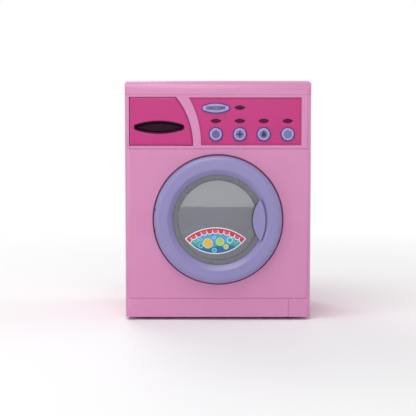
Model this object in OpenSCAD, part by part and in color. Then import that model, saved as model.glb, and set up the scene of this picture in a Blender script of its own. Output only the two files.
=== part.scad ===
// Toy front-loading washing machine, millimetres, +Z up, front towards -Y.
// The origin is on the floor under the middle of the whole object, door included.

/* [Cabinet] */
// Width of the cabinet
body_w = 186; // [182:1:210]
// Depth of the cabinet without the door that stands proud of it
body_d = 140; // [138:1:170]
// Height from the floor to the top of the cover
body_h = 240; // [238:1:270]
// Wall thickness of the moulded casings
wall = 2.5; // [2:0.1:2.8]
// Radius of the upright edges
edge_r = 5; // [3:0.5:6]
// How far the front casing's skirt runs back along the sides
skirt_d = 10; // [8:0.5:14]
// How far the side panels stand in from the front casing and the cover
side_step = 1; // [0.5:0.1:1.5]
// Height of the plinth line
plinth_z = 22; // [18:1:26]
// Width of the moulded filter flap outline in the plinth
flap_w = 22; // [16:1:40]
// Width of a moulded groove
line_w = 0.8; // [0.5:0.1:1.2]
// Depth of a moulded groove
line_d = 0.6; // [0.3:0.1:1]
// Distance of the upright groove in the side panel from the front
side_line_y = 34; // [24:1:50]

/* [Base and feet] */
// Height of a foot
foot_h = 3; // [2:0.5:6]
// Radius of a foot
foot_r = 8; // [6:0.5:10]
// Distance from the cabinet's sides to the middle of a foot
foot_inset = 20; // [16:1:30]

/* [Top cover] */
// Height of the cover's front face
cover_h = 14.5; // [13:0.5:18]
// Radius of the rolled front edge
roll_r = 12; // [6:0.5:12.5]
// Radius of the other top edges
cover_edge_r = 4; // [2:0.5:6]
// How much lower the cover's skirt reaches behind the front casing
cover_drop = 4.5; // [0:0.5:8]

/* [Control panel] */
// Plain strip between the cover and the panels
strip_h = 2.5; // [1.5:0.5:4]
// Height of the panels
panel_h = 47.5; // [44:0.5:50]
// Lowest left corner of the control panel, from the middle of the cabinet
panel_left = -17; // [-20:0.5:-14]
// Distance from the control panel to the cabinet's right side
panel_margin = 10; // [8:0.5:14]
// Radius of the control panel's curved left edge
panel_arc_r = 90.7; // [80:1:110]
// Width of the band between drawer and panel at its foot
band_w = 8.4; // [7.5:0.1:9.5]
// Depth of the panel's face behind the front of the casing
panel_sunk = 0.3; // [0.1:0.1:0.6]
// Width of the edge round the drawer front's and the panel's raised faces
face_edge_w = 1.8; // [1:0.1:2]
// Height of the raised faces over that edge
face_raise = 0.7; // [0.3:0.1:0.8]

/* [Buttons and lights] */
// Distance from the panel's left corner to the first round button
button_start = 14.8; // [14:0.1:17]
// Distance from the last round button to the panel's right edge
button_end = 13.8; // [13:0.1:16]
// Height of the round buttons above the panel's lower edge
button_up = 11; // [10:0.5:13]
// Radius of a round button
button_r = 6.1; // [5:0.1:6.4]
// Travel of a button
button_travel = 1.5; // [1:0.1:1.8]
// How far a button stands out of the panel
button_out = 2.2; // [2:0.1:3]
// Half length of the oval power button
power_a = 13.2; // [11:0.1:13.6]
// Half height of the oval power button
power_b = 4.4; // [3.8:0.1:4.6]
// Radius of the power button's two ends
power_end_r = 2.2; // [1.5:0.1:3]
// Distance of the power button under the panel's upper edge
power_down = 10.7; // [9:0.1:11]
// Height of the row of lights above the panel's lower edge
lights_up = 24.2; // [22:0.1:26]
// Half length of a light window
light_a = 5.6; // [4:0.1:6]
// Half height of a light window
light_b = 2.3; // [1.8:0.1:2.5]

/* [Drawer] */
// Distance from the drawer front to the cabinet's left side
drawer_margin = 5; // [4.5:0.5:7]
// Radius of the drawer front's curved right edge
drawer_arc_r = 73.5; // [66:0.5:90]
// Gap round the drawer front
drawer_gap = 0.5; // [0.3:0.1:0.8]
// Thickness of the drawer front
drawer_t = 3; // [2.5:0.1:3.5]
// Distance from the drawer front's left edge to the tray
tray_start = 3.5; // [3:0.5:6]
// Distance from the tray to the drawer front's right edge
tray_end = 20.6; // [20:0.1:24]
// Height of the tray
tray_h = 35; // [30:0.5:36]
// Length of the tray behind the drawer front
tray_l = 57; // [50:1:62]
// Wall of the tray
tray_wall = 1.5; // [1.2:0.1:2]
// Distance from the drawer front's left edge to the pull cup
pull_start = 4; // [3.5:0.1:6]
// Distance from the pull cup to the drawer front's right edge
pull_end = 8; // [7:0.1:12]
// Half height of the pull cup
pull_b = 6.6; // [5.5:0.1:8]
// Radius of the pull cup's two ends
pull_end_r = 3.2; // [3:0.1:4.5]
// How far the pull cup's walls lean in from its mouth to its floor
pull_lean = 1.5; // [0.5:0.1:1.7]
// Depth of the pull cup
pull_d = 9; // [7:0.5:9.5]
// Height of the pull cup above the panels' lower edge
pull_up = 18; // [16:0.5:22]

/* [Door] */
// Plain strip between the plinth line and the door
door_low = 15.3; // [14:0.1:18]
// Plain strip between the door and the line under the panels
door_high = 6.7; // [6:0.1:9]
// Gap between the door and its recess
door_gap = 1.5; // [1.2:0.1:2]
// How far the door stands out of the casing
door_proud = 9; // [8.5:0.1:11]
// Depth of the door inside the casing
door_in = 8; // [7:0.1:9]
// Gap between the door's back and the recess floor
door_back_gap = 0.8; // [0.6:0.1:1.5]
// Radius of the door's rounded outer edge
door_edge_r = 6; // [4:0.5:6]
// Width of the flat crest on the door ring
crest_w = 7.5; // [6:0.5:8]
// Wall of the door ring
door_wall = 2; // [1.6:0.1:2]
// Width of the door ring round the window
ring_w = 18.7; // [18:0.1:20]
// Width of the step round the window's raised middle
step_w = 5.3; // [4.5:0.1:8]
// Thickness of the window
window_t = 1.5; // [1.2:0.1:1.8]
// Height of the step round the window's raised middle
dome_step = 2.5; // [2:0.1:3]
// Height of the dome itself
dome_rise = 4.2; // [3:0.1:4.5]
// Radius of the rounded edge of the window's raised middle
dome_edge_r = 1.2; // [0.6:0.1:1.5]
// Distance the handle reaches in from the ring's inner edge
handle_reach = 10.8; // [9:0.1:12]
// Distance the handle's plate reaches out over the ring's slope
handle_over = 1.8; // [0:0.1:1.9]
// Half height of the handle
handle_half = 20.7; // [16:0.1:22]
// Thickness of the handle's plate
handle_t = 2.2; // [1.6:0.1:2.4]

/* [Door hinge and latch] */
// Distance from the door's edge to the hinge axis
hinge_in = 4; // [3.8:0.1:4.5]
// Distance of the hinge axis in front of the casing's face
hinge_out = 3.5; // [3.3:0.1:3.8]
// Radius of the hinge pin
pin_r = 1.2; // [1:0.1:1.3]
// Radius of the knuckle round the pin
knuckle_r = 3.2; // [3:0.1:3.3]
// Half length of the knuckle
knuckle_half = 8.5; // [7:0.5:10]
// Thickness of a hinge ear
ear_t = 2.5; // [2:0.1:3]
// Half width of a hinge ear
ear_r = 2; // [1.8:0.1:2.2]
// Distance from the latch tongue to the door's edge
tongue_in = 4; // [3.5:0.1:4.5]
// Thickness of the latch tongue
tongue_t = 2; // [1.5:0.1:2.5]
// Half height of the latch tongue
tongue_half = 5; // [4:0.5:6]

/* [Drum and tub] */
// How far the mouth in the recess floor stands in from the door's edge
mouth_in = 10.5; // [9.5:0.5:14]
// How far the drum stands in from the door's edge
drum_in = 4; // [3:0.5:6]
// Wall of the drum
drum_wall = 2; // [1.6:0.1:2.5]
// Gap between the drum and the tub
drum_gap = 3; // [1.5:0.1:3.5]
// Wall of the tub
tub_wall = 2; // [1.8:0.1:2.5]
// Height of a lifter
lifter_h = 10; // [7:0.5:12]
// Half width of a lifter at its foot
lifter_half = 8; // [6:0.5:9]
// Number of lifters
lifters = 3; // [2:1:4]
// Radius of a drum hole
drum_hole_r = 2.5; // [1.5:0.1:3]
// Number of holes round the drum
drum_holes = 12; // [6:1:16]
// Rows of holes along the drum
drum_rows = 3; // [1:1:3]
// Radius of the drum shaft
shaft_r = 3; // [2.5:0.1:3.2]

/* [Gears and motor] */
// Module of the gear teeth
gear_m = 0.8; // [0.7:0.01:0.82]
// Teeth of the drum gear
drum_teeth = 48; // [40:1:50]
// Teeth of the idler's small gear
idler_small_teeth = 12; // [11:1:14]
// Teeth of the idler's large gear
idler_large_teeth = 36; // [30:1:38]
// Teeth of the motor pinion
pinion_teeth = 9; // [9:1:11]
// Play between the teeth
backlash = 0.12; // [0.08:0.01:0.2]
// Width of the drum gear
gear_w = 6; // [4:0.5:6.5]
// Width of the idler's large gear and of the pinion
fast_w = 5; // [4:0.5:5.5]
// Radius of the idler's axle
axle_r = 1.5; // [1.2:0.1:1.8]
// Thickness of the gear plate
plate_t = 2.5; // [2:0.1:3]
// Radius of the motor can
motor_r = 10; // [8:0.1:10.5]
// Width of the motor across its flats
motor_flat = 15.1; // [13:0.1:16]
// Length of the motor
motor_l = 25; // [20:0.5:25.5]
// Gap between the motor and the back
motor_gap = 3.5; // [2:0.1:6]
// Radius of the motor shaft
motor_shaft_r = 1; // [0.8:0.1:1.2]

/* [Batteries] */
// Diameter of a battery
cell_d = 14.5; // [10.5:0.1:14.5]
// Length of a battery
cell_l = 50.5; // [44:0.5:52]
// Number of batteries side by side
cells = 4; // [2:1:4]
// Wall of the battery box
box_wall = 1.8; // [1.4:0.1:2.2]
// Height of the battery door's lower edge
battery_z = 18; // [16:0.5:24]

/* [Speaker] */
// Radius of the speaker
speaker_r = 18; // [14:0.5:18]
// Depth of the speaker
speaker_d = 11; // [8:0.5:14]
// Distance of the speaker's middle under the cabinet's top
speaker_down = 50; // [46:1:56]
// Radius of a hole in the speaker grille
grille_r = 1.2; // [0.8:0.1:1.4]
// Distance between the rings of grille holes
grille_pitch = 4.4; // [4:0.1:5]

/* [Hidden] */
$fn = 72;

// Colours of the mouldings
light_pink = [0.89, 0.56, 0.76];
deep_pink = [0.82, 0.27, 0.55];
magenta = [0.8, 0.2, 0.5];
lavender = [0.64, 0.6, 0.82];
plum = [0.2, 0.12, 0.18];
drum_plum = [0.45, 0.16, 0.36];
steel = [0.75, 0.76, 0.78];
white_plastic = [0.92, 0.91, 0.89];

// Clearances: turning on a pin, fitted without play, and free past a neighbour
run = 0.05;
snug = 0.02;
free = 0.3;
// Overshoot of a cut past the face that it opens
over = 0.1;

// Main faces
front_y = -(body_d + door_proud) / 2 + door_proud;
back_y = front_y + body_d;
inner_back_y = back_y - wall;
shell_z = foot_h;
cover_z = body_h - cover_h;
rear_top_z = cover_z - cover_drop;
rear_w = body_w - 2 * side_step;
skirt_y = front_y + skirt_d;

// Control panel and drawer front, from the panels' lower edge
panel_top = cover_z - strip_h;
panel_z = panel_top - panel_h;
panel_right = body_w / 2 - panel_margin;
panel_face_y = front_y + panel_sunk;
panel_back_y = front_y + wall;
flange_back_y = panel_back_y + 1.5;
flange_grow = 2;
ridge_z = panel_z - 3.5;
button_z = panel_z + button_up;
button_x0 = panel_left + button_start;
button_pitch = (panel_right - panel_left - button_start - button_end) / 3;
button_xs = [for (i = [0:3]) button_x0 + i * button_pitch];
lights_z = panel_z + lights_up;
power_z = panel_top - power_down;
power_light_z = power_z + 0.6;
collar_w = 0.9;
collar_out = 0.5;
button_hole_r = button_r + free;
button_flange_r = button_hole_r + 0.8;
button_flange_t = 1.1;
button_stem_r = 2;
pad_t = 0.8;
board_in = 12;
board_y = front_y + board_in;
board_t = 1.6;
board_edge = 1.5;
board_side = 13.2;
post_side = 10.2;
power_stem_x = 6;
post_r = 2.4;
posts = [
    [button_x0 - post_side, panel_z + 5.4],
    [button_xs[3] + post_side, panel_z + 5.4],
    [button_xs[1] + 0.6 * button_pitch, panel_top - 6],
    [button_xs[3] + post_side, panel_top - 6]
];
stem_end_y = board_y - pad_t - button_travel - 0.1;
led_r = 1.5;
blob_r = 6;
can_r = 2.5;
can_h = 7;
can_x = 8;
can_pitch = 7;
can_up = 10;

// Drawer
drawer_left = -body_w / 2 + drawer_margin;
drawer_right = panel_left - band_w;
drawer_w = drawer_right - drawer_left;
tray_x = drawer_left + tray_start;
tray_w = drawer_w - tray_start - tray_end;
tray_z = panel_z + 3.5;
tray_y0 = front_y + drawer_t;
tray_y1 = tray_y0 + tray_l;
cup_wall = 1.2;
cup_back_y = front_y + pull_d;
tray_front_y = cup_back_y + 1.2;
guide_t = 1.6;
guide_gap = 0.4;
guide_back_gap = 2;
guide_flange_t = 2.3;
pull_a = (drawer_w - pull_start - pull_end) / 2;
cup_x = drawer_left + pull_start + pull_a;
cup_z = panel_z + pull_up;

// Door and its recess
door_r = (ridge_z - door_high - plinth_z - door_low) / 2;
door_z = plinth_z + door_low + door_r;
window_r = door_r - ring_w;
dome_r = window_r - step_w;
recess_r = door_r + door_gap;
door_front_y = front_y - door_proud;
door_back_y = front_y + door_in;
floor_y = door_back_y + door_back_gap;
floor_back_y = floor_y + wall;
round_y = door_front_y + door_edge_r;
crest_out_r = door_r - door_edge_r;
crest_in_r = crest_out_r - crest_w;
lip_drop = 4.5;
lip_front_y = door_front_y + lip_drop;
flange_y = front_y - window_t;
window_flange_r = window_r + 5.5;
back_ring_t = 2;
clamp_r = window_r + 1.5;
clamp_wall = 2;
back_hole_r = window_r - 2.5;
door_chamfer = 2;
dome_front_y = flange_y - dome_step;
dome_ball_r = (dome_r * dome_r + dome_rise * dome_rise) / (2 * dome_rise);
dome_centre_y = dome_front_y + dome_ball_r - dome_rise;
door_screw_count = 4;
door_screw_ring = door_r - 8;
door_boss_r = 2.8;
door_shank_r = 1;
door_head_r = 2;
door_head_t = 0.9;
handle_ring_r = window_r - 0.1;
handle_plate_r = window_r + handle_over;
handle_edge_x = sqrt(handle_plate_r * handle_plate_r - handle_half * handle_half);
handle_tip_x = window_r - handle_reach;
handle_bow = handle_edge_x - handle_tip_x;
handle_arc_r = (handle_half * handle_half + handle_bow * handle_bow) / (2 * handle_bow);
handle_wall = 1.8;

// Hinge and latch
hinge_x = -(door_r - hinge_in);
hinge_y = front_y - hinge_out;
ear_z = knuckle_half + 0.5;
notch_z = ear_z - free;
notch_h = ear_t + 2 * free;
bracket_t = 1.2;
bracket_half = ear_z + ear_t + 2.5;
tongue_x = door_r - tongue_in - tongue_t;
tongue_y1 = floor_back_y - 0.1;
clip_t = 0.8;
clip_gap = 0.3;
slot_x0 = tongue_x - clip_gap - clip_t - snug;
slot_x1 = tongue_x + tongue_t + 0.9;
slot_half = tongue_half + 0.6;

// Tub, drum and gears
drum_front_y = floor_back_y + 1.2;
mouth_r = door_r - mouth_in;
drum_r = door_r - drum_in;
tub_hub_l = 4;
gear_gap = 0.6;
gear_free = 0.5;
plate_free = 1.1;
gear_stack = tub_wall + tub_hub_l + gear_free + gear_w + gear_gap + fast_w + plate_free + plate_t;
tub_back_y = inner_back_y - motor_gap - motor_l - gear_stack;
tub_depth = tub_back_y - floor_back_y;
drum_back_y = tub_back_y - 1.5;
tub_r = drum_r + drum_gap;
tub_flange_r = recess_r + wall;
hub_r = 9;
tub_rear_y = tub_back_y + tub_wall;
hub_y = tub_rear_y + tub_hub_l;
bush_r = shaft_r + 2.5;
bush_flange_t = 0.8;
drum_plate_t = 2.5;
drum_lip_r = mouth_r + 0.5;
drum_lip_t = 1.5;
boss_depth = 7;
gear_y = hub_y + gear_free;
fast_y = gear_y + gear_w + gear_gap;
plate_y = fast_y + fast_w + plate_free;
motor_y = plate_y + plate_t;
drum_pitch_r = gear_m * drum_teeth / 2;
small_pitch_r = gear_m * idler_small_teeth / 2;
large_pitch_r = gear_m * idler_large_teeth / 2;
pinion_pitch_r = gear_m * pinion_teeth / 2;
idler_angle = 60;
motor_angle = 90;
pressure_angle = 25;
idler_dist = drum_pitch_r + small_pitch_r;
motor_dist = large_pitch_r + pinion_pitch_r;
idler_x = idler_dist * cos(idler_angle);
idler_z = door_z + idler_dist * sin(idler_angle);
motor_x = idler_x + motor_dist * cos(motor_angle);
motor_z = idler_z + motor_dist * sin(motor_angle);
gear_post_r = 4;
gear_screw_r = 1.2;
gear_posts = [[-26, -12], [28, -12], [-20, 40], [32, 36]];
plate_margin = 5;
plate_corner = 4;
gear_screw_bite = 7;
motor_boss_r = 3;

// Battery box and its door
cell_pitch = cell_d + 0.9;
cradle_r = cell_d / 2 + 0.4;
bay_w = (cells - 1) * cell_pitch + 2 * cradle_r;
bay_h = cell_l + 5;
box_w = bay_w + 2 * box_wall;
box_h = bay_h + 2 * box_wall;
cell_y = inner_back_y - cradle_r - 0.6;
box_y = cell_y - cradle_r - box_wall;
box_flange = 3;
box_flange_t = 2;
battery_gap = 0.3;
tab_w = 8;
tab_x = box_w / 4;
tab_drop = 3;
tab_t = 1.2;
tab_gap = 0.2;
tab_room = wall + tab_gap + tab_t + 1.6;
lug_r = 6;
lug_up = 1;
battery_screw_r = 1.25;
battery_screw_l = 5;
contact_r = 4.5;
contact_t = 0.5;

// Speaker and casing screws
speaker_z = body_h - speaker_down;
speaker_ring_w = 1.7;
speaker_ring_h = 4;
clamp_t = 1.6;
tower_in = 9;
tower_low_z = 18;
tower_down = 9.5;
tower_x = body_w / 2 - tower_in;
tower_zs = [tower_low_z, panel_z - tower_down];
tower_r = 3.8;
tower_front_l = 60;
tower_joint_y = front_y + tower_front_l;
screw_shank_r = 1.5;
screw_head_r = 2.8;
screw_head_t = 2;
screw_bore_r = screw_head_r + 0.3;
screw_grip = 4;
screw_bite = 12;

// A flat shape drawn as seen from the front, made solid from y0 back to y1
module slab(y0, y1) {
    translate([0, y1, 0])
        rotate([90, 0, 0])
            linear_extrude(y1 - y0)
                children();
}

// A profile of radius and y, turned round an axis along Y at height z
module turn(x = 0, z = door_z, fn = 144) {
    translate([x, 0, z])
        rotate([-90, 0, 0])
            rotate_extrude($fn = fn)
                children();
}

// A round bar along Y
module bar(r, y0, y1, x = 0, z = 0, fn = 48) {
    translate([x, y0, z])
        rotate([-90, 0, 0])
            cylinder(r = r, h = y1 - y0, $fn = fn);
}

// A box from its two corners
module block(low, high) {
    translate(low)
        cube(high - low);
}

// A flat rectangle with round corners, from its two corners
module round_rect(low, high, r) {
    translate([low.x + r, low.y])
        square([high.x - low.x - 2 * r, high.y - low.y]);
    translate([low.x, low.y + r])
        square([high.x - low.x, high.y - low.y - 2 * r]);
    for (x = [low.x + r, high.x - r], y = [low.y + r, high.y - r])
        translate([x, y])
            circle(r, $fn = 48);
}

// A pointed oval from two equal arcs, half length a and half height b
module lens(a, b) {
    r = (a * a + b * b) / (2 * b);
    intersection() {
        translate([0, r - b])
            circle(r, $fn = 96);
        translate([0, b - r])
            circle(r, $fn = 96);
    }
}

// An oval of four arcs, half length a, half height b and end radius e
module oval(a, b, e) {
    r = ((a - e) * (a - e) + b * b - e * e) / (2 * (b - e));
    x = (a - e) * r / (r - e);
    intersection() {
        translate([0, r - b])
            circle(r, $fn = 240);
        translate([0, b - r])
            circle(r, $fn = 240);
        square([2 * x, 4 * b], center = true);
    }
    for (s = [-1, 1])
        translate([s * (a - e), 0])
            circle(e, $fn = 48);
}

// Outlines that the casing, the fascia and the drawer share

module panel_outline(grow = 0) {
    difference() {
        translate([panel_left - panel_h - grow, panel_z - grow])
            square([panel_right - panel_left + panel_h + 2 * grow, panel_h + 2 * grow]);
        translate([panel_left - panel_arc_r, panel_z + 2])
            circle(panel_arc_r - grow, $fn = 240);
    }
}

module drawer_outline(grow = 0) {
    intersection() {
        translate([drawer_left - grow, panel_z - grow])
            square([drawer_right - drawer_left + 2 * grow, panel_h + 2 * grow]);
        translate([drawer_right - drawer_arc_r, panel_z + 1])
            circle(drawer_arc_r + grow, $fn = 240);
    }
}

module power_outline(grow = 0) {
    translate([button_x0, power_z])
        oval(power_a + grow, power_b + grow, power_end_r + grow);
}

module button_places() {
    for (x = button_xs)
        translate([x, button_z])
            children();
}

module light_places() {
    for (x = button_xs)
        translate([x, lights_z])
            children();
    translate([button_xs[1], power_light_z])
        children();
}

module tower_places() {
    for (s = [-1, 1], z = tower_zs)
        translate([s * tower_x, 0, z])
            children();
}

// Cabinet

module front_outline(inset = 0) {
    round_rect([-body_w / 2 + inset, front_y + inset], [body_w / 2 - inset, back_y], edge_r - inset);
}

module front_casing() {
    color(light_pink)
        difference() {
            union() {
                front_shell();
                bar(tub_flange_r, front_y + wall / 2, floor_back_y, 0, door_z, 144);
                tower_places()
                    bar(tower_r, front_y + wall / 2, tower_joint_y);
            }
            bar(recess_r, front_y - over, floor_y, 0, door_z, 144);
            bar(mouth_r, front_y, floor_back_y + over, 0, door_z, 144);
            slab(front_y - over, front_y + wall + over)
                drawer_outline(drawer_gap);
            slab(front_y - over, front_y + wall + over)
                panel_outline();
            hinge_pocket();
            block([slot_x0, floor_y - over, door_z - slot_half],
                  [slot_x1, floor_back_y + over, door_z + slot_half]);
            front_lines();
            tower_places()
                bar(screw_shank_r + snug, tower_joint_y - screw_bite - 2, tower_joint_y + over);
        }
}

module front_shell() {
    difference() {
        translate([0, 0, shell_z])
            linear_extrude(cover_z - shell_z)
                front_outline();
        translate([0, 0, shell_z - over])
            linear_extrude(cover_z - shell_z + 2 * over)
                front_outline(wall);
        block([-body_w, skirt_y, 0], [body_w, back_y + over, body_h]);
    }
}

module hinge_pocket() {
    block([hinge_x - ear_r - 0.6 - snug, floor_y - over, door_z - bracket_half - snug],
          [hinge_x + ear_r + 2.4 + snug, floor_y + bracket_t + snug, door_z + bracket_half + snug]);
}

// Plinth line, flap outline and the line under the panels
module front_lines() {
    for (z = [plinth_z, ridge_z])
        block([-body_w / 2 - over, front_y - over, z - line_w / 2],
              [body_w / 2 + over, front_y + line_d, z + line_w / 2]);
    block([body_w / 2 - flap_w - line_w / 2, front_y - over, shell_z - over],
          [body_w / 2 - flap_w + line_w / 2, front_y + line_d, plinth_z]);
}

module rear_outline(inset = 0) {
    round_rect([-rear_w / 2 + inset, front_y - skirt_d],
               [rear_w / 2 - inset, back_y - inset], edge_r - inset);
}

module rear_casing() {
    color(deep_pink)
        difference() {
            union() {
                rear_shell();
                tower_places()
                    bar(tower_r, tower_joint_y, back_y - wall / 2);
                turn(0, speaker_z, 72)
                    translate([speaker_r + free, inner_back_y - speaker_ring_h])
                        square([speaker_ring_w, speaker_ring_h + wall / 2]);
            }
            slab(inner_back_y - over, back_y + over)
                battery_outline(battery_gap);
            grille_holes();
            tower_places() {
                bar(screw_bore_r, tower_joint_y + screw_grip, back_y + over);
                bar(screw_shank_r + 0.2, tower_joint_y - over, back_y);
            }
            side_lines();
        }
}

module rear_shell() {
    difference() {
        translate([0, 0, shell_z])
            linear_extrude(rear_top_z - shell_z)
                rear_outline();
        translate([0, 0, shell_z - over])
            linear_extrude(rear_top_z - shell_z + 2 * over)
                rear_outline(wall);
        block([-body_w, front_y - 2 * skirt_d, 0], [body_w, skirt_y, body_h]);
    }
}

module side_lines() {
    for (s = [-1, 1])
        translate([s * rear_w / 2, front_y + side_line_y, (shell_z + rear_top_z) / 2])
            cube([2 * line_d, line_w, rear_top_z - shell_z + 1], center = true);
}

module grille_holes() {
    bar(grille_r, inner_back_y - over, back_y + over, 0, speaker_z, 24);
    for (ring = [1:3], i = [0:6 * ring - 1])
        let (r = ring * grille_pitch, a = i * 60 / ring)
            bar(grille_r, inner_back_y - over, back_y + over, r * cos(a), speaker_z + r * sin(a), 24);
}

// The cover's side view, its front edge rolled
module cover_side(inset = 0) {
    low = cover_z - cover_drop - over;
    top = body_h - inset;
    front = front_y + inset;
    back = back_y - inset;
    roll = roll_r - inset;
    edge = cover_edge_r - min(inset, cover_edge_r - 0.5);
    translate([front + roll, low])
        square([back - edge - front - roll, top - low]);
    translate([front, low])
        square([back - front, top - low - max(roll, edge)]);
    translate([front + roll, low])
        square([back - front - roll, top - low - edge]);
    translate([front + roll, top - roll])
        circle(roll, $fn = 96);
    translate([back - edge, top - edge])
        circle(edge, $fn = 48);
}

// The cover's front view, its long edges rounded
module cover_front(inset = 0) {
    low = cover_z - cover_drop - over;
    top = body_h - inset;
    half = body_w / 2 - inset;
    edge = cover_edge_r - min(inset, cover_edge_r - 0.5);
    translate([-half, low])
        square([2 * half, top - low - edge]);
    translate([-half + edge, low])
        square([2 * (half - edge), top - low]);
    for (s = [-1, 1])
        translate([s * (half - edge), top - edge])
            circle(edge, $fn = 48);
}

module cover_solid(inset = 0) {
    intersection() {
        slab(front_y - 1, back_y + 1)
            cover_front(inset);
        translate([-body_w / 2 - 1, 0, 0])
            rotate([90, 0, 90])
                linear_extrude(body_w + 2)
                    cover_side(inset);
        translate([0, 0, cover_z - cover_drop])
            linear_extrude(cover_h + cover_drop + over)
                round_rect([-body_w / 2 + inset, front_y + inset],
                           [body_w / 2 - inset, back_y - inset], edge_r - inset);
    }
}

module top_cover() {
    color(light_pink)
        difference() {
            cover_solid();
            translate([0, 0, -over])
                cover_solid(wall);
            block([-body_w, front_y - 2, cover_z - cover_drop - 1], [body_w, skirt_y, cover_z]);
        }
}

module base_plate() {
    gap = free / 2;
    color(light_pink)
        translate([0, 0, shell_z])
            linear_extrude(wall)
                round_rect([-rear_w / 2 + wall + gap, front_y + wall + gap],
                           [rear_w / 2 - wall - gap, inner_back_y - gap], edge_r - wall);
}

module feet() {
    color([0.25, 0.24, 0.27])
        for (s = [-1, 1], y = [front_y + foot_inset, back_y - foot_inset])
            translate([s * (body_w / 2 - foot_inset), y, 0]) {
                cylinder(r1 = foot_r - 0.8, r2 = foot_r, h = 0.8, $fn = 48);
                translate([0, 0, 0.8])
                    cylinder(r = foot_r, h = foot_h - 0.8, $fn = 48);
            }
}

module casing_screws() {
    head_y = tower_joint_y + screw_grip;
    color(steel)
        tower_places()
            difference() {
                union() {
                    bar(screw_shank_r, tower_joint_y - screw_bite, head_y + over);
                    bar(screw_head_r, head_y, head_y + screw_head_t);
                }
                cross_slot(head_y + screw_head_t, 0.8);
            }
}

// A cross recess in a screw head whose outer face is at y
module cross_slot(y, deep, half = 1.6) {
    for (a = [0, 90])
        rotate([0, a, 0])
            block([-half, y - deep, -half / 4.5], [half, y + over, half / 4.5]);
}

// Control panel

module control_panel() {
    color(magenta)
        difference() {
            union() {
                slab(panel_face_y, flange_back_y)
                    panel_outline(-face_edge_w);
                slab(panel_face_y + face_raise, flange_back_y)
                    panel_outline(-snug);
                slab(panel_back_y, flange_back_y)
                    panel_outline(flange_grow);
                slab(panel_face_y - collar_out, panel_back_y) {
                    button_places()
                        circle(button_hole_r + collar_w);
                    power_outline(free + collar_w);
                }
                for (p = posts)
                    bar(post_r, flange_back_y - over, board_y, p.x, p.y);
            }
            slab(panel_face_y - 1, flange_back_y + over) {
                button_places()
                    circle(button_hole_r);
                power_outline(free);
                light_places()
                    lens(light_a + snug, light_b + snug);
            }
            for (p = posts)
                bar(0.9, flange_back_y, board_y + over, p.x, p.y, 24);
        }
}

module light_windows() {
    color(plum)
        slab(panel_face_y, flange_back_y)
            light_places()
                lens(light_a, light_b);
}

module indicator_leds() {
    color([0.85, 0.15, 0.15])
        for (p = [for (x = button_xs) [x, lights_z], [button_xs[1], power_light_z]])
            translate([p.x, 0, p.y]) {
                bar(led_r, flange_back_y + free + led_r, board_y);
                bar(led_r + 0.4, board_y - 1, board_y);
                translate([0, flange_back_y + free + led_r, 0])
                    sphere(led_r, $fn = 32);
            }
}

module circuit_board() {
    low = [button_x0 - board_side, panel_z + board_edge];
    high = [button_xs[3] + board_side, panel_top - board_edge];
    color([0.16, 0.42, 0.22]) {
        slab(board_y, board_y + board_t)
            difference() {
                translate(low)
                    square(high - low);
                for (p = posts)
                    translate(p)
                        circle(0.9, $fn = 24);
            }
        bar(blob_r, board_y + board_t - over, board_y + board_t + 1.2,
            button_xs[1] + 2 * blob_r, button_z + blob_r);
        for (i = [0:2])
            bar(can_r, board_y + board_t - over, board_y + board_t + can_h,
                button_xs[2] + can_x + can_pitch * i, lights_z + can_up);
    }
}

module contact_pads() {
    color([0.12, 0.12, 0.13]) {
        for (x = button_xs)
            bar(2.6, board_y - pad_t, board_y, x, button_z);
        for (s = [-1, 1])
            bar(2.6, board_y - pad_t, board_y, button_x0 + s * power_stem_x, power_z);
    }
}

// A round button: domed cap, retaining flange and stem
module program_button(i) {
    cap_y = panel_face_y - button_out;
    flange_y0 = flange_back_y + run;
    color(lavender)
        turn(button_xs[i], button_z, 96) {
            translate([0, cap_y + 0.8])
                square([button_r, flange_y0 - cap_y]);
            translate([0, cap_y])
                square([button_r - 0.8, 1]);
            intersection() {
                translate([button_r - 0.8, cap_y + 0.8])
                    circle(0.8, $fn = 32);
                translate([0, cap_y])
                    square([button_r, 2]);
            }
            translate([0, flange_y0])
                square([button_flange_r, button_flange_t]);
            translate([0, flange_y0])
                square([button_stem_r, stem_end_y - flange_y0]);
        }
}

module button_program_1() {
    program_button(0);
}

module button_program_2() {
    program_button(1);
}

module button_program_3() {
    program_button(2);
}

module button_program_4() {
    program_button(3);
}

module button_power() {
    cap_y = panel_face_y - button_out;
    flange_y0 = flange_back_y + run;
    color(lavender) {
        slab(cap_y, cap_y + 0.6)
            power_outline(-0.6);
        slab(cap_y + 0.6, flange_y0 + over)
            power_outline();
        slab(flange_y0, flange_y0 + button_flange_t)
            power_outline(free + 0.8);
        for (s = [-1, 1])
            bar(button_stem_r, flange_y0, stem_end_y, button_x0 + s * power_stem_x, power_z);
    }
}

// Drawer

module drawer_front() {
    color(magenta)
        difference() {
            hull() {
                slab(front_y, front_y + face_raise)
                    drawer_outline(-face_edge_w);
                slab(front_y + face_raise, front_y + drawer_t)
                    drawer_outline();
            }
            slab(front_y - over, front_y + drawer_t + over)
                pull_outline(snug);
        }
}

// The pull cup's mouth
module pull_outline(grow = 0) {
    translate([cup_x, cup_z])
        oval(pull_a + grow, pull_b + grow, pull_end_r + grow);
}

module drawer_pull_cup() {
    floor_y = cup_back_y - cup_wall;
    color(plum)
        difference() {
            slab(front_y, cup_back_y)
                pull_outline();
            hull() {
                slab(front_y - over, front_y)
                    pull_outline(-cup_wall);
                slab(floor_y - over, floor_y)
                    pull_outline(-cup_wall - pull_lean);
            }
        }
}

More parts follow.
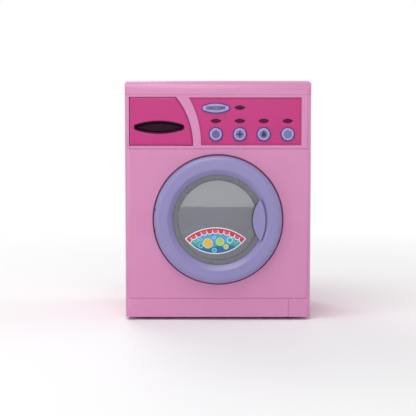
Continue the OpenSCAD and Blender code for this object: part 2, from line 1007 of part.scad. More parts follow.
module drawer_tray() {
    color(white_plastic)
        difference() {
            block([tray_x, tray_y0, tray_z], [tray_x + tray_w, tray_y1, tray_z + tray_h]);
            block([tray_x + tray_wall, tray_front_y + tray_wall, tray_z + tray_wall],
                  [tray_x + tray_w - tray_wall, tray_y1 - tray_wall, tray_z + tray_h + over]);
            slab(tray_y0 - over, tray_front_y)
                round_rect([tray_x - 2, cup_z - pull_b - 2], [tray_x + tray_w + 2, cup_z + pull_b + 2], 1);
        }
}

module drawer_guide() {
    low = [tray_x - guide_gap, tray_z - guide_gap];
    high = [tray_x + tray_w + guide_gap, tray_z + tray_h + guide_gap];
    guide_end_y = tray_y1 + guide_back_gap;
    color(light_pink)
        difference() {
            union() {
                block([low.x - guide_t, panel_back_y, low.y - guide_t],
                      [high.x + guide_t, guide_end_y + guide_t, high.y + guide_t]);
                block([low.x - guide_t, panel_back_y, ridge_z - 1.5],
                      [high.x + guide_t, panel_back_y + guide_flange_t, cover_z - 0.5]);
            }
            slab(panel_back_y - over, front_y + drawer_t + free)
                drawer_outline(drawer_gap);
            block([low.x, panel_back_y - over, low.y], [high.x, guide_end_y, high.y]);
            block([low.x + 3, panel_back_y - over, high.y - over],
                  [high.x - 3, guide_end_y - 6, high.y + guide_t + over]);
            block([low.x - guide_t - over, panel_back_y - over, cup_z - pull_b - 1],
                  [high.x + guide_t + over, cup_back_y + 1, cup_z + pull_b + 1]);
        }
}

// Door

// The ring's solid section, from its rounded outer edge to the lip round the window
module door_section(inset = 0) {
    outer = door_r - inset;
    inner = window_r + inset;
    translate([inner, round_y])
        square([outer - inner, door_back_y - round_y + inset]);
    translate([crest_in_r, door_front_y + inset])
        square([crest_out_r - crest_in_r, door_edge_r]);
    translate([crest_out_r, round_y])
        circle(door_edge_r - inset, $fn = 96);
    polygon([
        [inner, round_y + over],
        [inner, lip_front_y + inset * 0.6],
        [crest_in_r + inset * 0.3, door_front_y + inset],
        [crest_in_r + 1, door_front_y + inset],
        [crest_in_r + 1, round_y + over]
    ]);
}

module door_frame() {
    color(lavender)
        difference() {
            union() {
                turn()
                    difference() {
                        door_section();
                        door_section(door_wall);
                        translate([window_r - 1, flange_y])
                            square([door_wall + 1.5, door_in + window_t + over]);
                        translate([door_r, door_back_y])
                            rotate(45)
                                square(door_chamfer * sqrt(2), center = true);
                    }
                knuckle();
                door_bosses();
            }
            translate([hinge_x, hinge_y, door_z - knuckle_half - 1])
                cylinder(r = pin_r + run, h = 2 * knuckle_half + 2, $fn = 48);
            ear_notches();
        }
}

// The knuckle that turns on the pin, held inside the ring's outer wall
module knuckle() {
    translate([hinge_x, hinge_y, door_z - knuckle_half])
        cylinder(r = knuckle_r, h = 2 * knuckle_half, $fn = 48);
}

module door_bosses() {
    difference() {
        door_screw_places()
            bar(door_boss_r, door_front_y + door_wall / 2, door_back_y - back_ring_t);
        door_screw_places()
            bar(door_shank_r + snug, door_back_y - back_ring_t - 7, door_back_y, fn = 24);
    }
}

module door_screw_places() {
    for (i = [0:door_screw_count - 1])
        rotate_door(45 + i * 360 / door_screw_count)
            translate([door_screw_ring, 0, 0])
                children();
}

// Turns a piece round the door's middle
module rotate_door(a) {
    translate([0, 0, door_z])
        rotate([0, a, 0])
            children();
}

// Room for the two hinge ears, open to the back and to the left
module ear_notches() {
    for (z = [door_z + notch_z, door_z - notch_z - notch_h])
        block([-door_r - 1, hinge_y - ear_r - 0.75, z],
              [hinge_x + ear_r + 0.4, door_back_y + over, z + notch_h]);
}

module door_window() {
    color([0.55, 0.58, 0.6, 0.6])
        turn() {
            difference() {
                translate([dome_r - window_t, flange_y])
                    square([window_flange_r - dome_r + window_t, window_t]);
                translate([0, flange_y - 1])
                    square([dome_r - window_t, window_t + 2]);
            }
            difference() {
                union() {
                    translate([dome_r - window_t, dome_front_y])
                        square([window_t, dome_step + window_t]);
                    dome_section();
                }
                dome_edge_cut();
            }
        }
}

// What the rounding takes off the edge of the window's raised middle
module dome_edge_cut() {
    inner_ball_r = dome_ball_r - dome_edge_r;
    edge_y = dome_centre_y - sqrt(pow(inner_ball_r, 2) - pow(dome_r - dome_edge_r, 2));
    touch_r = (dome_r - dome_edge_r) * dome_ball_r / inner_ball_r;
    difference() {
        translate([touch_r, dome_front_y - dome_edge_r])
            square([dome_r - touch_r + over, edge_y - dome_front_y + dome_edge_r]);
        translate([dome_r - dome_edge_r, edge_y])
            circle(dome_edge_r, $fn = 48);
    }
}

// The domed middle of the window, between two arcs about one centre
module dome_section() {
    difference() {
        intersection() {
            translate([0, dome_centre_y])
                circle(dome_ball_r, $fn = 720);
            translate([0, dome_front_y - dome_rise - 1])
                square([dome_r, dome_rise + 1 + window_t]);
        }
        translate([0, dome_centre_y])
            circle(dome_ball_r - window_t, $fn = 720);
    }
}

module door_back_ring() {
    ring_r = door_r - door_wall - 0.2;
    color(lavender)
        difference() {
            union() {
                turn() {
                    translate([back_hole_r, door_back_y - back_ring_t])
                        square([ring_r - back_hole_r, back_ring_t]);
                    translate([clamp_r, front_y])
                        square([clamp_wall, door_in - over]);
                }
                block([tongue_x, door_back_y - back_ring_t, door_z - tongue_half],
                      [tongue_x + tongue_t, tongue_y1, door_z + tongue_half]);
            }
            ear_notches();
            door_screw_places() {
                bar(door_shank_r + 0.2, front_y, door_back_y + over, fn = 24);
                bar(door_head_r + 0.3, door_back_y - door_head_t, door_back_y + over, fn = 32);
            }
        }
}

module door_screws() {
    color(steel)
        door_screw_places()
            difference() {
                union() {
                    bar(door_shank_r, door_back_y - 8.5, door_back_y - door_head_t + over);
                    bar(door_head_r, door_back_y - door_head_t, door_back_y);
                }
                cross_slot(door_back_y, 0.5, 1.2);
            }
}

module handle_outline(r) {
    intersection() {
        circle(r, $fn = 240);
        translate([handle_tip_x + handle_arc_r, 0])
            circle(handle_arc_r, $fn = 240);
    }
}

module door_handle() {
    color(lavender)
        translate([0, 0, door_z]) {
            slab(door_front_y, door_front_y + handle_t)
                handle_outline(handle_plate_r);
            slab(door_front_y + handle_t - over, flange_y)
                difference() {
                    handle_outline(handle_ring_r);
                    circle(handle_ring_r - handle_wall, $fn = 240);
                }
        }
}

// Hinge and latch on the cabinet

module hinge_bracket() {
    color(light_pink)
        difference() {
            union() {
                block([hinge_x - ear_r - 0.6, floor_y, door_z - bracket_half],
                      [hinge_x + ear_r + 2.4, floor_y + bracket_t, door_z + bracket_half]);
                for (z = [door_z + ear_z, door_z - ear_z - ear_t]) {
                    block([hinge_x - ear_r, hinge_y, z],
                          [hinge_x + ear_r, floor_y + bracket_t / 2, z + ear_t]);
                    translate([hinge_x, hinge_y, z])
                        cylinder(r = ear_r, h = ear_t, $fn = 48);
                }
            }
            translate([hinge_x, hinge_y, door_z - bracket_half])
                cylinder(r = pin_r + snug, h = 2 * bracket_half, $fn = 48);
        }
}

module hinge_pin() {
    color(steel)
        translate([hinge_x, hinge_y, door_z - ear_z - ear_t])
            cylinder(r = pin_r, h = 2 * (ear_z + ear_t), $fn = 48);
}

module latch_clip() {
    color(steel)
        block([slot_x0 + snug, floor_y, door_z - tongue_half],
              [slot_x0 + snug + clip_t, tongue_y1, door_z + tongue_half]);
}

// Tub and drum

module tub() {
    color(white_plastic)
        difference() {
            union() {
                turn() {
                    translate([tub_r, floor_back_y])
                        square([tub_wall, tub_depth]);
                    translate([tub_r, floor_back_y])
                        square([tub_flange_r - tub_r, 2]);
                    translate([0, tub_back_y])
                        square([tub_r + tub_wall, tub_wall]);
                    translate([0, tub_back_y])
                        square([hub_r, hub_y - tub_back_y]);
                }
                bar(gear_post_r, tub_back_y + 1, hub_y - over, idler_x, idler_z);
                for (p = gear_posts)
                    bar(gear_post_r, tub_back_y + 1, plate_y, p.x, door_z + p.y);
            }
            bar(bush_r + snug, tub_back_y - over, hub_y + over, 0, door_z);
            bar(axle_r + snug, tub_rear_y + 1, hub_y + over, idler_x, idler_z);
            for (p = gear_posts)
                bar(gear_screw_r + snug, plate_y - gear_screw_bite - 1, plate_y + over,
                    p.x, door_z + p.y, 32);
        }
}

module drum_shell() {
    color(drum_plum)
        difference() {
            turn() {
                translate([drum_r - drum_wall, drum_front_y])
                    square([drum_wall, drum_back_y - drum_front_y]);
                translate([drum_lip_r, drum_front_y])
                    square([drum_r - drum_lip_r, drum_lip_t]);
            }
            drum_wall_holes();
        }
}

module drum_wall_holes() {
    row_gap = (drum_back_y - drum_front_y - drum_plate_t) / (drum_rows + 1);
    for (row = [1:drum_rows], i = [0:drum_holes - 1])
        translate([0, drum_front_y + row * row_gap, door_z])
            rotate([0, (i + 0.5) * 360 / drum_holes, 0])
                translate([drum_r - drum_wall - 1, 0, 0])
                    rotate([0, 90, 0])
                        cylinder(r = drum_hole_r, h = drum_wall + 2, $fn = 24);
}

module drum_back() {
    hole_ring = (drum_r + hub_r) / 2 + 6;
    color(drum_plum)
        difference() {
            turn() {
                translate([0, drum_back_y - drum_plate_t])
                    square([drum_r - drum_wall - snug, drum_plate_t]);
                translate([0, drum_back_y - boss_depth])
                    square([hub_r, boss_depth - over]);
            }
            bar(shaft_r + snug, drum_back_y - boss_depth + 2, drum_back_y + over, 0, door_z);
            for (i = [0:drum_holes - 1])
                rotate_door(i * 360 / drum_holes)
                    translate([hole_ring, 0, 0])
                        bar(drum_hole_r, drum_back_y - drum_plate_t - over, drum_back_y + over, fn = 24);
        }
}

// Each lifter is a rounded ridge along the drum
module drum_lifters() {
    low_y = drum_front_y + drum_lip_t + 1;
    high_y = drum_back_y - drum_plate_t - run;
    inner_r = drum_r - drum_wall - run;
    tip_r = 3;
    color(drum_plum)
        for (i = [0:lifters - 1])
            rotate_door(90 + i * 360 / lifters)
                slab(low_y, high_y)
                    intersection() {
                        circle(inner_r, $fn = 144);
                        union() {
                            translate([inner_r - lifter_h + tip_r, 0])
                                circle(tip_r, $fn = 32);
                            polygon([
                                [inner_r - lifter_h + 0.8 * tip_r, tip_r * 0.98],
                                [inner_r + 1, lifter_half],
                                [inner_r + 1, -lifter_half],
                                [inner_r - lifter_h + 0.8 * tip_r, -tip_r * 0.98]
                            ]);
                        }
                    }
}

module drum_shaft() {
    color(steel)
        bar(shaft_r, drum_back_y - boss_depth + 2.2, motor_y, 0, door_z);
}

module drum_bush() {
    color([0.8, 0.62, 0.3])
        difference() {
            union() {
                bar(bush_r, tub_back_y, hub_y, 0, door_z);
                bar(bush_r + 1.5, tub_back_y - bush_flange_t, tub_back_y, 0, door_z);
            }
            bar(shaft_r + run, tub_back_y - 2, hub_y + 1, 0, door_z);
        }
}

// Gears

function involute(a) = tan(a) - a * PI / 180;
// Half the angle of a tooth at radius r, in degrees
function tooth_half(n, r) =
    let (
        pitch = gear_m * n / 2,
        base = pitch * cos(pressure_angle),
        here = r > base ? acos(base / r) : 0,
        half = PI / (2 * n) - backlash / (4 * pitch)
    )
    (half + involute(pressure_angle) - involute(here)) * 180 / PI;

// The outline of a spur gear with n teeth, one tooth centred on the x axis
module gear_outline(n) {
    pitch = gear_m * n / 2;
    root = pitch - 1.1 * gear_m;
    tip = pitch + 0.8 * gear_m;
    start = max(root, pitch * cos(pressure_angle));
    steps = 3;
    flank = [for (i = [0:steps]) start + (tip - start) * i / steps];
    radii = start > root + 0.01 ? concat([root], flank) : flank;
    last = len(radii) - 1;
    polygon([
        for (t = [0:n - 1], side = [-1, 1], i = [0:last])
            let (
                r = radii[side < 0 ? i : last - i],
                a = t * 360 / n + side * tooth_half(n, r)
            )
            [r * cos(a), r * sin(a)]
    ]);
}

// A gear along Y at x, z, with a tooth centre at angle a seen from the front
module spur(n, y, w, x, z, a) {
    translate([x, 0, z])
        slab(y, y + w)
            rotate(a)
                gear_outline(n);
}

module drum_gear() {
    color(white_plastic)
        difference() {
            spur(drum_teeth, gear_y, gear_w, 0, door_z, idler_angle);
            bar(shaft_r + snug, gear_y - over, gear_y + gear_w + over, 0, door_z);
            turn()
                translate([shaft_r + 4, gear_y - over])
                    square([drum_pitch_r - shaft_r - 7, gear_w / 3 + over]);
            for (i = [0:4])
                rotate_door(36 + i * 72)
                    translate([(shaft_r + 1 + drum_pitch_r) / 2, 0, 0])
                        bar(2.6, gear_y - over, gear_y + gear_w + over, fn = 32);
        }
}

module idler_gear() {
    color([0.3, 0.35, 0.4])
        difference() {
            union() {
                spur(idler_small_teeth, gear_y - 0.2, fast_y - gear_y + 0.3, idler_x, idler_z,
                     idler_angle + 180 + 180 / idler_small_teeth);
                spur(idler_large_teeth, fast_y, fast_w, idler_x, idler_z, motor_angle);
            }
            bar(axle_r + run, gear_y - 1, plate_y, idler_x, idler_z);
        }
}

module idler_axle() {
    color(steel)
        bar(axle_r, tub_rear_y + 1.1, motor_y, idler_x, idler_z);
}

module motor_pinion() {
    color([0.85, 0.8, 0.55])
        difference() {
            spur(pinion_teeth, fast_y - 0.2, fast_w + 0.4, motor_x, motor_z,
                 motor_angle + 180 + 180 / pinion_teeth);
            bar(motor_shaft_r + snug, fast_y - 1, plate_y, motor_x, motor_z, 32);
        }
}

module motor_shaft() {
    color(steel)
        bar(motor_shaft_r, fast_y - 0.2, motor_y + 4, motor_x, motor_z, 32);
}

module motor() {
    color(steel)
        difference() {
            union() {
                intersection() {
                    bar(motor_r, motor_y, motor_y + motor_l, motor_x, motor_z, 72);
                    block([motor_x - motor_r - 1, motor_y, motor_z - motor_flat / 2],
                          [motor_x + motor_r + 1, motor_y + motor_l, motor_z + motor_flat / 2]);
                }
                bar(motor_boss_r, motor_y - 1.5, motor_y + over, motor_x, motor_z);
            }
            bar(motor_shaft_r + run, motor_y - 2, motor_y + 4.5, motor_x, motor_z, 32);
        }
}

module gear_plate() {
    low = [gear_posts[0].x - plate_margin, gear_posts[0].y - plate_margin];
    high = [gear_posts[3].x + plate_margin, motor_z - door_z + motor_r + 1];
    color([0.85, 0.86, 0.88])
        difference() {
            slab(plate_y, motor_y)
                translate([0, door_z])
                    round_rect(low, high, plate_corner);
            bar(shaft_r + run, plate_y - over, motor_y + over, 0, door_z);
            bar(axle_r + snug, plate_y - over, motor_y + over, idler_x, idler_z);
            bar(motor_boss_r + snug, plate_y - over, motor_y + over, motor_x, motor_z);
            for (p = gear_posts)
                bar(gear_screw_r + 0.2, plate_y - over, motor_y + over, p.x, door_z + p.y, 32);
        }
}

module gear_plate_screws() {
    color(steel)
        for (p = gear_posts)
            translate([p.x, 0, door_z + p.y])
                difference() {
                    union() {
                        bar(gear_screw_r, plate_y - gear_screw_bite, motor_y + over, 0, 0, 32);
                        bar(2.4, motor_y, motor_y + 1.8, 0, 0, 32);
                    }
                    cross_slot(motor_y + 1.8, 0.8);
                }
}

// Batteries

module battery_outline(grow = 0) {
    translate([-box_w / 2 + battery_gap - grow, battery_z + battery_gap - grow])
        square([box_w - 2 * battery_gap + 2 * grow, box_h - 2 * battery_gap + 2 * grow]);
    translate([0, battery_z + box_h + lug_up])
        circle(lug_r + grow, $fn = 48);
}

module battery_box() {
    low_z = battery_z;
    high_z = battery_z + box_h;
    lug_z = high_z + lug_up;
    color(plum)
        difference() {
            union() {
                block([-box_w / 2, box_y, low_z], [box_w / 2, inner_back_y, high_z]);
                slab(inner_back_y - box_flange_t, inner_back_y)
                    round_rect([-box_w / 2 - box_flange, low_z - box_flange],
                               [box_w / 2 + box_flange, high_z + lug_r + lug_up + box_flange], 2);
                bar(4, inner_back_y - 8, inner_back_y, 0, lug_z);
            }
            for (i = [0:cells - 1])
                cell_room((i - (cells - 1) / 2) * cell_pitch);
            block([-bay_w / 2, cell_y - 2, battery_z + box_wall],
                  [bay_w / 2, inner_back_y + over, battery_z + box_wall + bay_h]);
            bar(battery_screw_r + 0.6, inner_back_y - 7, inner_back_y + over, 0, lug_z, 32);
            for (s = [-1, 1])
                block([s * tab_x - tab_w / 2 - 0.4, back_y - tab_room, low_z - tab_drop - 0.6],
                      [s * tab_x + tab_w / 2 + 0.4, inner_back_y + over, low_z + battery_gap + tab_room]);
        }
}

// The cradle of one battery
module cell_room(x) {
    translate([x, cell_y, battery_z + box_wall])
        cylinder(r = cradle_r, h = bay_h, $fn = 72);
}

// A sprung cone at one end of each bay and a plate at the other, the ends alternating
module battery_contacts() {
    color(steel)
        for (i = [0:cells - 1]) {
            x = (i - (cells - 1) / 2) * cell_pitch;
            low = battery_z + box_wall;
            high = low + bay_h;
            spring_low = i % 2 == 0;
            translate([x, cell_y, spring_low ? low : high])
                mirror([0, 0, spring_low ? 0 : 1])
                    spring_cone();
            translate([x, cell_y, spring_low ? high - contact_t : low])
                cylinder(r = contact_r, h = contact_t, $fn = 32);
        }
}

module spring_cone() {
    cylinder(r = contact_r + 0.5, h = contact_t, $fn = 32);
    for (k = [0:3])
        translate([0, 0, contact_t + k * 0.9])
            rotate_extrude($fn = 32)
                translate([3.6 - 0.45 * k, 0])
                    square([0.7, 0.95]);
}

module battery_door() {
    color(deep_pink)
        difference() {
            union() {
                slab(inner_back_y, back_y)
                    battery_outline();
                for (s = [-1, 1])
                    battery_tab(s * tab_x);
            }
            bar(battery_screw_r + 0.15, inner_back_y - 1, back_y + over, 0, battery_z + box_h + lug_up, 32);
            bar(2.9, back_y - 1.5, back_y + over, 0, battery_z + box_h + lug_up, 32);
            for (k = [0:4])
                translate([0, 0, battery_z + 8 + k * 2.4])
                    block([-9, back_y - line_d, 0], [9, back_y + over, 1]);
        }
}

// A tab that hooks behind the back wall under the door
module battery_tab(x) {
    tab_y = inner_back_y - tab_gap;
    block([x - tab_w / 2, tab_y - tab_t, battery_z - tab_drop], [x + tab_w / 2, tab_y, battery_z + 2.5]);
    block([x - tab_w / 2, tab_y - tab_t, battery_z + 2 * battery_gap],
          [x + tab_w / 2, inner_back_y + over, battery_z + 2.5]);
}

module battery_door_screw() {
    color(steel)
        translate([0, 0, battery_z + box_h + lug_up])
            difference() {
                union() {
                    bar(battery_screw_r, inner_back_y - battery_screw_l, back_y - 1.4, 0, 0, 32);
                    bar(2.6, back_y - 1.5, back_y - 0.2, 0, 0, 32);
                }
                cross_slot(back_y - 0.2, 0.6);
            }
}

// Speaker

module speaker() {
    rim_y = inner_back_y;
    color([0.2, 0.2, 0.22])
        turn(0, speaker_z, 96) {
            translate([speaker_r - 3, rim_y - 2])
                square([3, 2]);
            polygon([
                [0, rim_y - speaker_d],
                [speaker_r * 0.5, rim_y - speaker_d],
                [speaker_r * 0.5, rim_y - speaker_d + 4],
                [speaker_r - 2.5, rim_y - 2],
                [speaker_r - 2.5, rim_y - 1],
                [speaker_r * 0.35, rim_y - 4],
                [0, rim_y - 3]
            ]);
        }
}

module speaker_clamp() {
    ring_y = inner_back_y - speaker_ring_h;
    color([0.85, 0.86, 0.88])
        turn(0, speaker_z, 96) {
            translate([speaker_r - 2, ring_y - clamp_t])
                square([speaker_ring_w + 2 + free, clamp_t]);
            translate([speaker_r - 2, ring_y - over])
                square([1.6, speaker_ring_h - 2 + over]);
        }
}

front_casing();
rear_casing();
top_cover();
base_plate();
feet();
casing_screws();
control_panel();
light_windows();
indicator_leds();
circuit_board();
contact_pads();
button_power();
button_program_1();
button_program_2();
button_program_3();
button_program_4();
drawer_front();
drawer_pull_cup();
drawer_tray();
drawer_guide();
door_frame();
door_window();
door_back_ring();
door_handle();
door_screws();
hinge_bracket();
hinge_pin();
latch_clip();
tub();
drum_shell();
drum_back();
drum_lifters();
drum_shaft();
drum_bush();
drum_gear();
idler_gear();
idler_axle();
motor_pinion();
motor_shaft();
motor();
gear_plate();
gear_plate_screws();
battery_box();
battery_contacts();
battery_door();
battery_door_screw();
speaker();
speaker_clamp();
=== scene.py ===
# A toy washing machine in moulded ABS: finishes, printed keys, window sticker, battery springs, studio.
import math
import bmesh
import bpy
from mathutils import Matrix, Vector


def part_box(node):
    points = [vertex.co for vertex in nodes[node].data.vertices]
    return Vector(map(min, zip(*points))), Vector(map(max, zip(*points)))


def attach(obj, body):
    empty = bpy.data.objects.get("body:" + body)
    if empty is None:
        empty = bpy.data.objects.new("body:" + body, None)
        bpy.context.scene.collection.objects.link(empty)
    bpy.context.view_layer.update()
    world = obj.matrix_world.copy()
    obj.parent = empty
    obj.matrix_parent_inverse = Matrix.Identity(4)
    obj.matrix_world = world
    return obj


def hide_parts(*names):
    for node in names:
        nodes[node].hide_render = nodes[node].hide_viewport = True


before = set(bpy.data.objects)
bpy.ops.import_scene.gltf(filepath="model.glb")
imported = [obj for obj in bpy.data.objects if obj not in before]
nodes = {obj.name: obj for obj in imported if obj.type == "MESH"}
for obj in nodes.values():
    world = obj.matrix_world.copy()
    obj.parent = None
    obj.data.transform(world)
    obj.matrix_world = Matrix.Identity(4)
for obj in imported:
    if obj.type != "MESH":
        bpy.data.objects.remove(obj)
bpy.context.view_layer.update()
scene = bpy.context.scene
scene.view_settings.view_transform = "Standard"
mm = 0.001
print("frame loaded,", len(nodes), "CAD nodes")


def linearColour(hexText):  # sRGB hex to linear RGBA
    parts = [int(hexText[i:i + 2], 16) / 255 for i in (0, 2, 4)]
    return (*[p / 12.92 if p <= 0.04045 else ((p + 0.055) / 1.055) ** 2.4 for p in parts], 1.0)


def addNode(tree, kind, settings=None, links=None):  # node attributes by name, sockets by name or number
    node = tree.nodes.new(kind)
    for key, value in (settings or {}).items():
        if isinstance(key, int) or key in node.inputs:
            node.inputs[key].default_value = value
        else:
            setattr(node, key, value)
    for key, source in (links or {}).items():
        tree.links.new(source, node.inputs[key])
    return node


def startMaterial(name, surface):  # surface holds the Principled sockets that are the same all over
    material = bpy.data.materials.new(name)
    material.use_nodes = True
    tree = material.node_tree
    shader = tree.nodes["Principled BSDF"]
    for key, value in surface.items():
        shader.inputs[key].default_value = value
    place = addNode(tree, "ShaderNodeTexCoord")
    return material, tree, shader, place.outputs["Object"]


# Injection-moulded ABS: peel is the pitch of the orange peel and peelHigh its depth, in millimetres.
# Rough is 0.3 or more, because gloss bands that fall under 0.27 come out of the denoiser as streaks.

plastics = {
    "lightPinkAbs": {"colour": "D68EB9", "shade": "D086B2", "rough": 0.3, "peel": 1.6, "peelHigh": 0.006},
    "deepPinkAbs": {"colour": "D24A92", "shade": "C94089", "rough": 0.48, "peel": 1.2, "peelHigh": 0.008,
                    "specular": 0.25},
    "magentaAbs": {"colour": "C4277D", "shade": "BB2074", "rough": 0.3, "peel": 2.0, "peelHigh": 0.005},
    "lavenderAbs": {"colour": "938CBC", "shade": "8A83B4", "rough": 0.3, "peel": 2.2, "peelHigh": 0.005},
    "paleLavenderAbs": {"colour": "A9A0D4", "shade": "A198CD", "rough": 0.3, "peel": 2.0, "peelHigh": 0.004},
    "plumAbsAndRecessShade": {"colour": "38092A", "shade": "300722", "rough": 0.5, "peel": 1.2, "peelHigh": 0.006,
                "specular": 0.15},  # a matt mould, so that the deep cup keeps its near-black colour: painted shade in place of the pull recess's shadow; the battery box shares this plum
    "drumPlumAbs": {"colour": "7C3A6A", "shade": "70315F", "rough": 0.36, "peel": 1.4, "peelHigh": 0.006},
    "whiteAbs": {"colour": "EAE7E2", "shade": "E2DED8", "rough": 0.42, "peel": 1.2, "peelHigh": 0.008},
    "clampAbs": {"colour": "D8D9DE", "shade": "CDCED4", "rough": 0.45, "peel": 1.0, "peelHigh": 0.008},
}
mouldLooks = {  # what the mouldings share, lengths in millimetres
    "specular": 0.4,
    "cloud": 30,
    "flow": 12,
    "flowStretch": 0.2,
    "glossUnder": 0.02,
    "glossOver": 0.03,
    "grain": 0.5,
    "grainShare": 0.3,  # of the orange peel's depth
}


def mouldedPlastic(name, look):  # ABS from a steel mould: even colour, soft gloss, faint orange peel
    material, tree, shader, place = startMaterial(name, {
        "IOR": 1.53, "Specular IOR Level": look.get("specular", mouldLooks["specular"])})
    cloud = addNode(tree, "ShaderNodeTexNoise", {"Scale": 1 / (mouldLooks["cloud"] * mm), "Detail": 2.0},
                    {"Vector": place})
    tint = addNode(tree, "ShaderNodeMix", {"data_type": "RGBA", 6: linearColour(look["colour"]),
                                           7: linearColour(look["shade"])}, {0: cloud.outputs[0]})
    tree.links.new(tint.outputs[2], shader.inputs["Base Color"])
    # melt flow leaves long, faint bands of gloss
    along = addNode(tree, "ShaderNodeMapping", {"Scale": (1.0, 1.0, mouldLooks["flowStretch"])},
                    {"Vector": place})
    flow = addNode(tree, "ShaderNodeTexNoise", {"Scale": 1 / (mouldLooks["flow"] * mm), "Detail": 3.0},
                   {"Vector": along.outputs[0]})
    gloss = addNode(tree, "ShaderNodeMapRange", {"To Min": look["rough"] - mouldLooks["glossUnder"],
                                                 "To Max": look["rough"] + mouldLooks["glossOver"]},
                    {"Value": flow.outputs[0]})
    tree.links.new(gloss.outputs[0], shader.inputs["Roughness"])
    # orange peel, and the finer grain of an eroded mould under it, drawn coarser so that it shows
    peel = addNode(tree, "ShaderNodeTexNoise", {"Scale": 1 / (look["peel"] * mm), "Detail": 1.0},
                   {"Vector": place})
    grain = addNode(tree, "ShaderNodeTexNoise", {"Scale": 1 / (mouldLooks["grain"] * mm), "Detail": 1.0},
                    {"Vector": place})
    coarse = addNode(tree, "ShaderNodeBump", {"Strength": 1.0, "Distance": look["peelHigh"] * mm},
                     {"Height": peel.outputs[0]})
    fine = addNode(tree, "ShaderNodeBump", {"Strength": 1.0,
                                            "Distance": mouldLooks["grainShare"] * look["peelHigh"] * mm},
                   {"Height": grain.outputs[0], "Normal": coarse.outputs[0]})
    tree.links.new(fine.outputs[0], shader.inputs["Normal"])
    return material


materials = {name: mouldedPlastic(name, look) for name, look in plastics.items()}


# Other finishes, with the lengths of their patterns in millimetres

styreneLooks = {"tint": "9A9CA8", "rough": 0.06, "ripple": 9, "rippleHigh": 0.01}


def smokedStyrene():
    # clear polystyrene with a grey tint from a polished mould: glossy, see-through and a little milky
    material, tree, shader, place = startMaterial("smokedStyrene", {
        "IOR": 1.55, "Transmission Weight": 0.6, "Roughness": styreneLooks["rough"], "Coat Weight": 1.0,
        "Coat Roughness": 0.04, "Base Color": linearColour(styreneLooks["tint"])})
    ripple = addNode(tree, "ShaderNodeTexNoise", {"Scale": 1 / (styreneLooks["ripple"] * mm), "Detail": 1.0},
                     {"Vector": place})
    bump = addNode(tree, "ShaderNodeBump", {"Distance": styreneLooks["rippleHigh"] * mm},
                   {"Height": ripple.outputs[0]})
    tree.links.new(bump.outputs[0], shader.inputs["Normal"])
    return material


acrylicLooks = {"colour": "580833", "shade": "460627", "rough": 0.3, "cloud": 3}


def darkAcrylic():  # dark red tinted acrylic, polished, nearly black until the LED behind it lights
    material, tree, shader, place = startMaterial("darkAcrylic", {
        "IOR": 1.49, "Roughness": acrylicLooks["rough"], "Specular IOR Level": 0.15})
    cloud = addNode(tree, "ShaderNodeTexNoise", {"Scale": 1 / (acrylicLooks["cloud"] * mm)},
                    {"Vector": place})
    tint = addNode(tree, "ShaderNodeMix", {"data_type": "RGBA", 6: linearColour(acrylicLooks["colour"]),
                                           7: linearColour(acrylicLooks["shade"])}, {0: cloud.outputs[0]})
    tree.links.new(tint.outputs[2], shader.inputs["Base Color"])
    return material


steelLooks = {"colour": "C4C7CC", "ring": 0.6, "ringHigh": 0.004, "bright": 0.28, "dull": 0.4}


def platedSteel():  # bright zinc on turned steel: fine lathe marks, slightly blue
    material, tree, shader, place = startMaterial("platedSteel", {
        "Metallic": 1.0, "Base Color": linearColour(steelLooks["colour"])})
    streak = addNode(tree, "ShaderNodeTexNoise", {"Scale": 1 / (steelLooks["ring"] * mm), "Detail": 2.0},
                     {"Vector": place})
    gloss = addNode(tree, "ShaderNodeMapRange",
                    {"To Min": steelLooks["bright"], "To Max": steelLooks["dull"]},
                    {"Value": streak.outputs[0]})
    tree.links.new(gloss.outputs[0], shader.inputs["Roughness"])
    bump = addNode(tree, "ShaderNodeBump", {"Distance": steelLooks["ringHigh"] * mm},
                   {"Height": streak.outputs[0]})
    tree.links.new(bump.outputs[0], shader.inputs["Normal"])
    return material


bronzeLooks = {"pore": "8A6A3A", "metal": "C9A060", "poreWide": 0.4, "rough": 0.45}


def sinteredBronze():  # pressed bronze powder soaked in oil: dull gold with open pores
    material, tree, shader, place = startMaterial("sinteredBronze", {
        "Metallic": 1.0, "Roughness": bronzeLooks["rough"]})
    pores = addNode(tree, "ShaderNodeTexVoronoi", {"Scale": 1 / (bronzeLooks["poreWide"] * mm)},
                    {"Vector": place})
    tint = addNode(tree, "ShaderNodeMix", {"data_type": "RGBA", 6: linearColour(bronzeLooks["pore"]),
                                           7: linearColour(bronzeLooks["metal"])}, {0: pores.outputs[0]})
    tree.links.new(tint.outputs[2], shader.inputs["Base Color"])
    return material


rubberLooks = {"rough": 0.75, "grain": 0.7, "grainHigh": 0.02}


def mouldedRubber(name, colour, shade):  # matt moulded rubber: no gloss, fine grain
    material, tree, shader, place = startMaterial(name, {"IOR": 1.45, "Roughness": rubberLooks["rough"]})
    grain = addNode(tree, "ShaderNodeTexNoise", {"Scale": 1 / (rubberLooks["grain"] * mm), "Detail": 3.0},
                    {"Vector": place})
    tint = addNode(tree, "ShaderNodeMix", {"data_type": "RGBA", 6: linearColour(colour),
                                           7: linearColour(shade)}, {0: grain.outputs[0]})
    tree.links.new(tint.outputs[2], shader.inputs["Base Color"])
    bump = addNode(tree, "ShaderNodeBump", {"Distance": rubberLooks["grainHigh"] * mm},
                   {"Height": grain.outputs[0]})
    tree.links.new(bump.outputs[0], shader.inputs["Normal"])
    return material


acetalLooks = {"rough": 0.38, "cloud": 5}


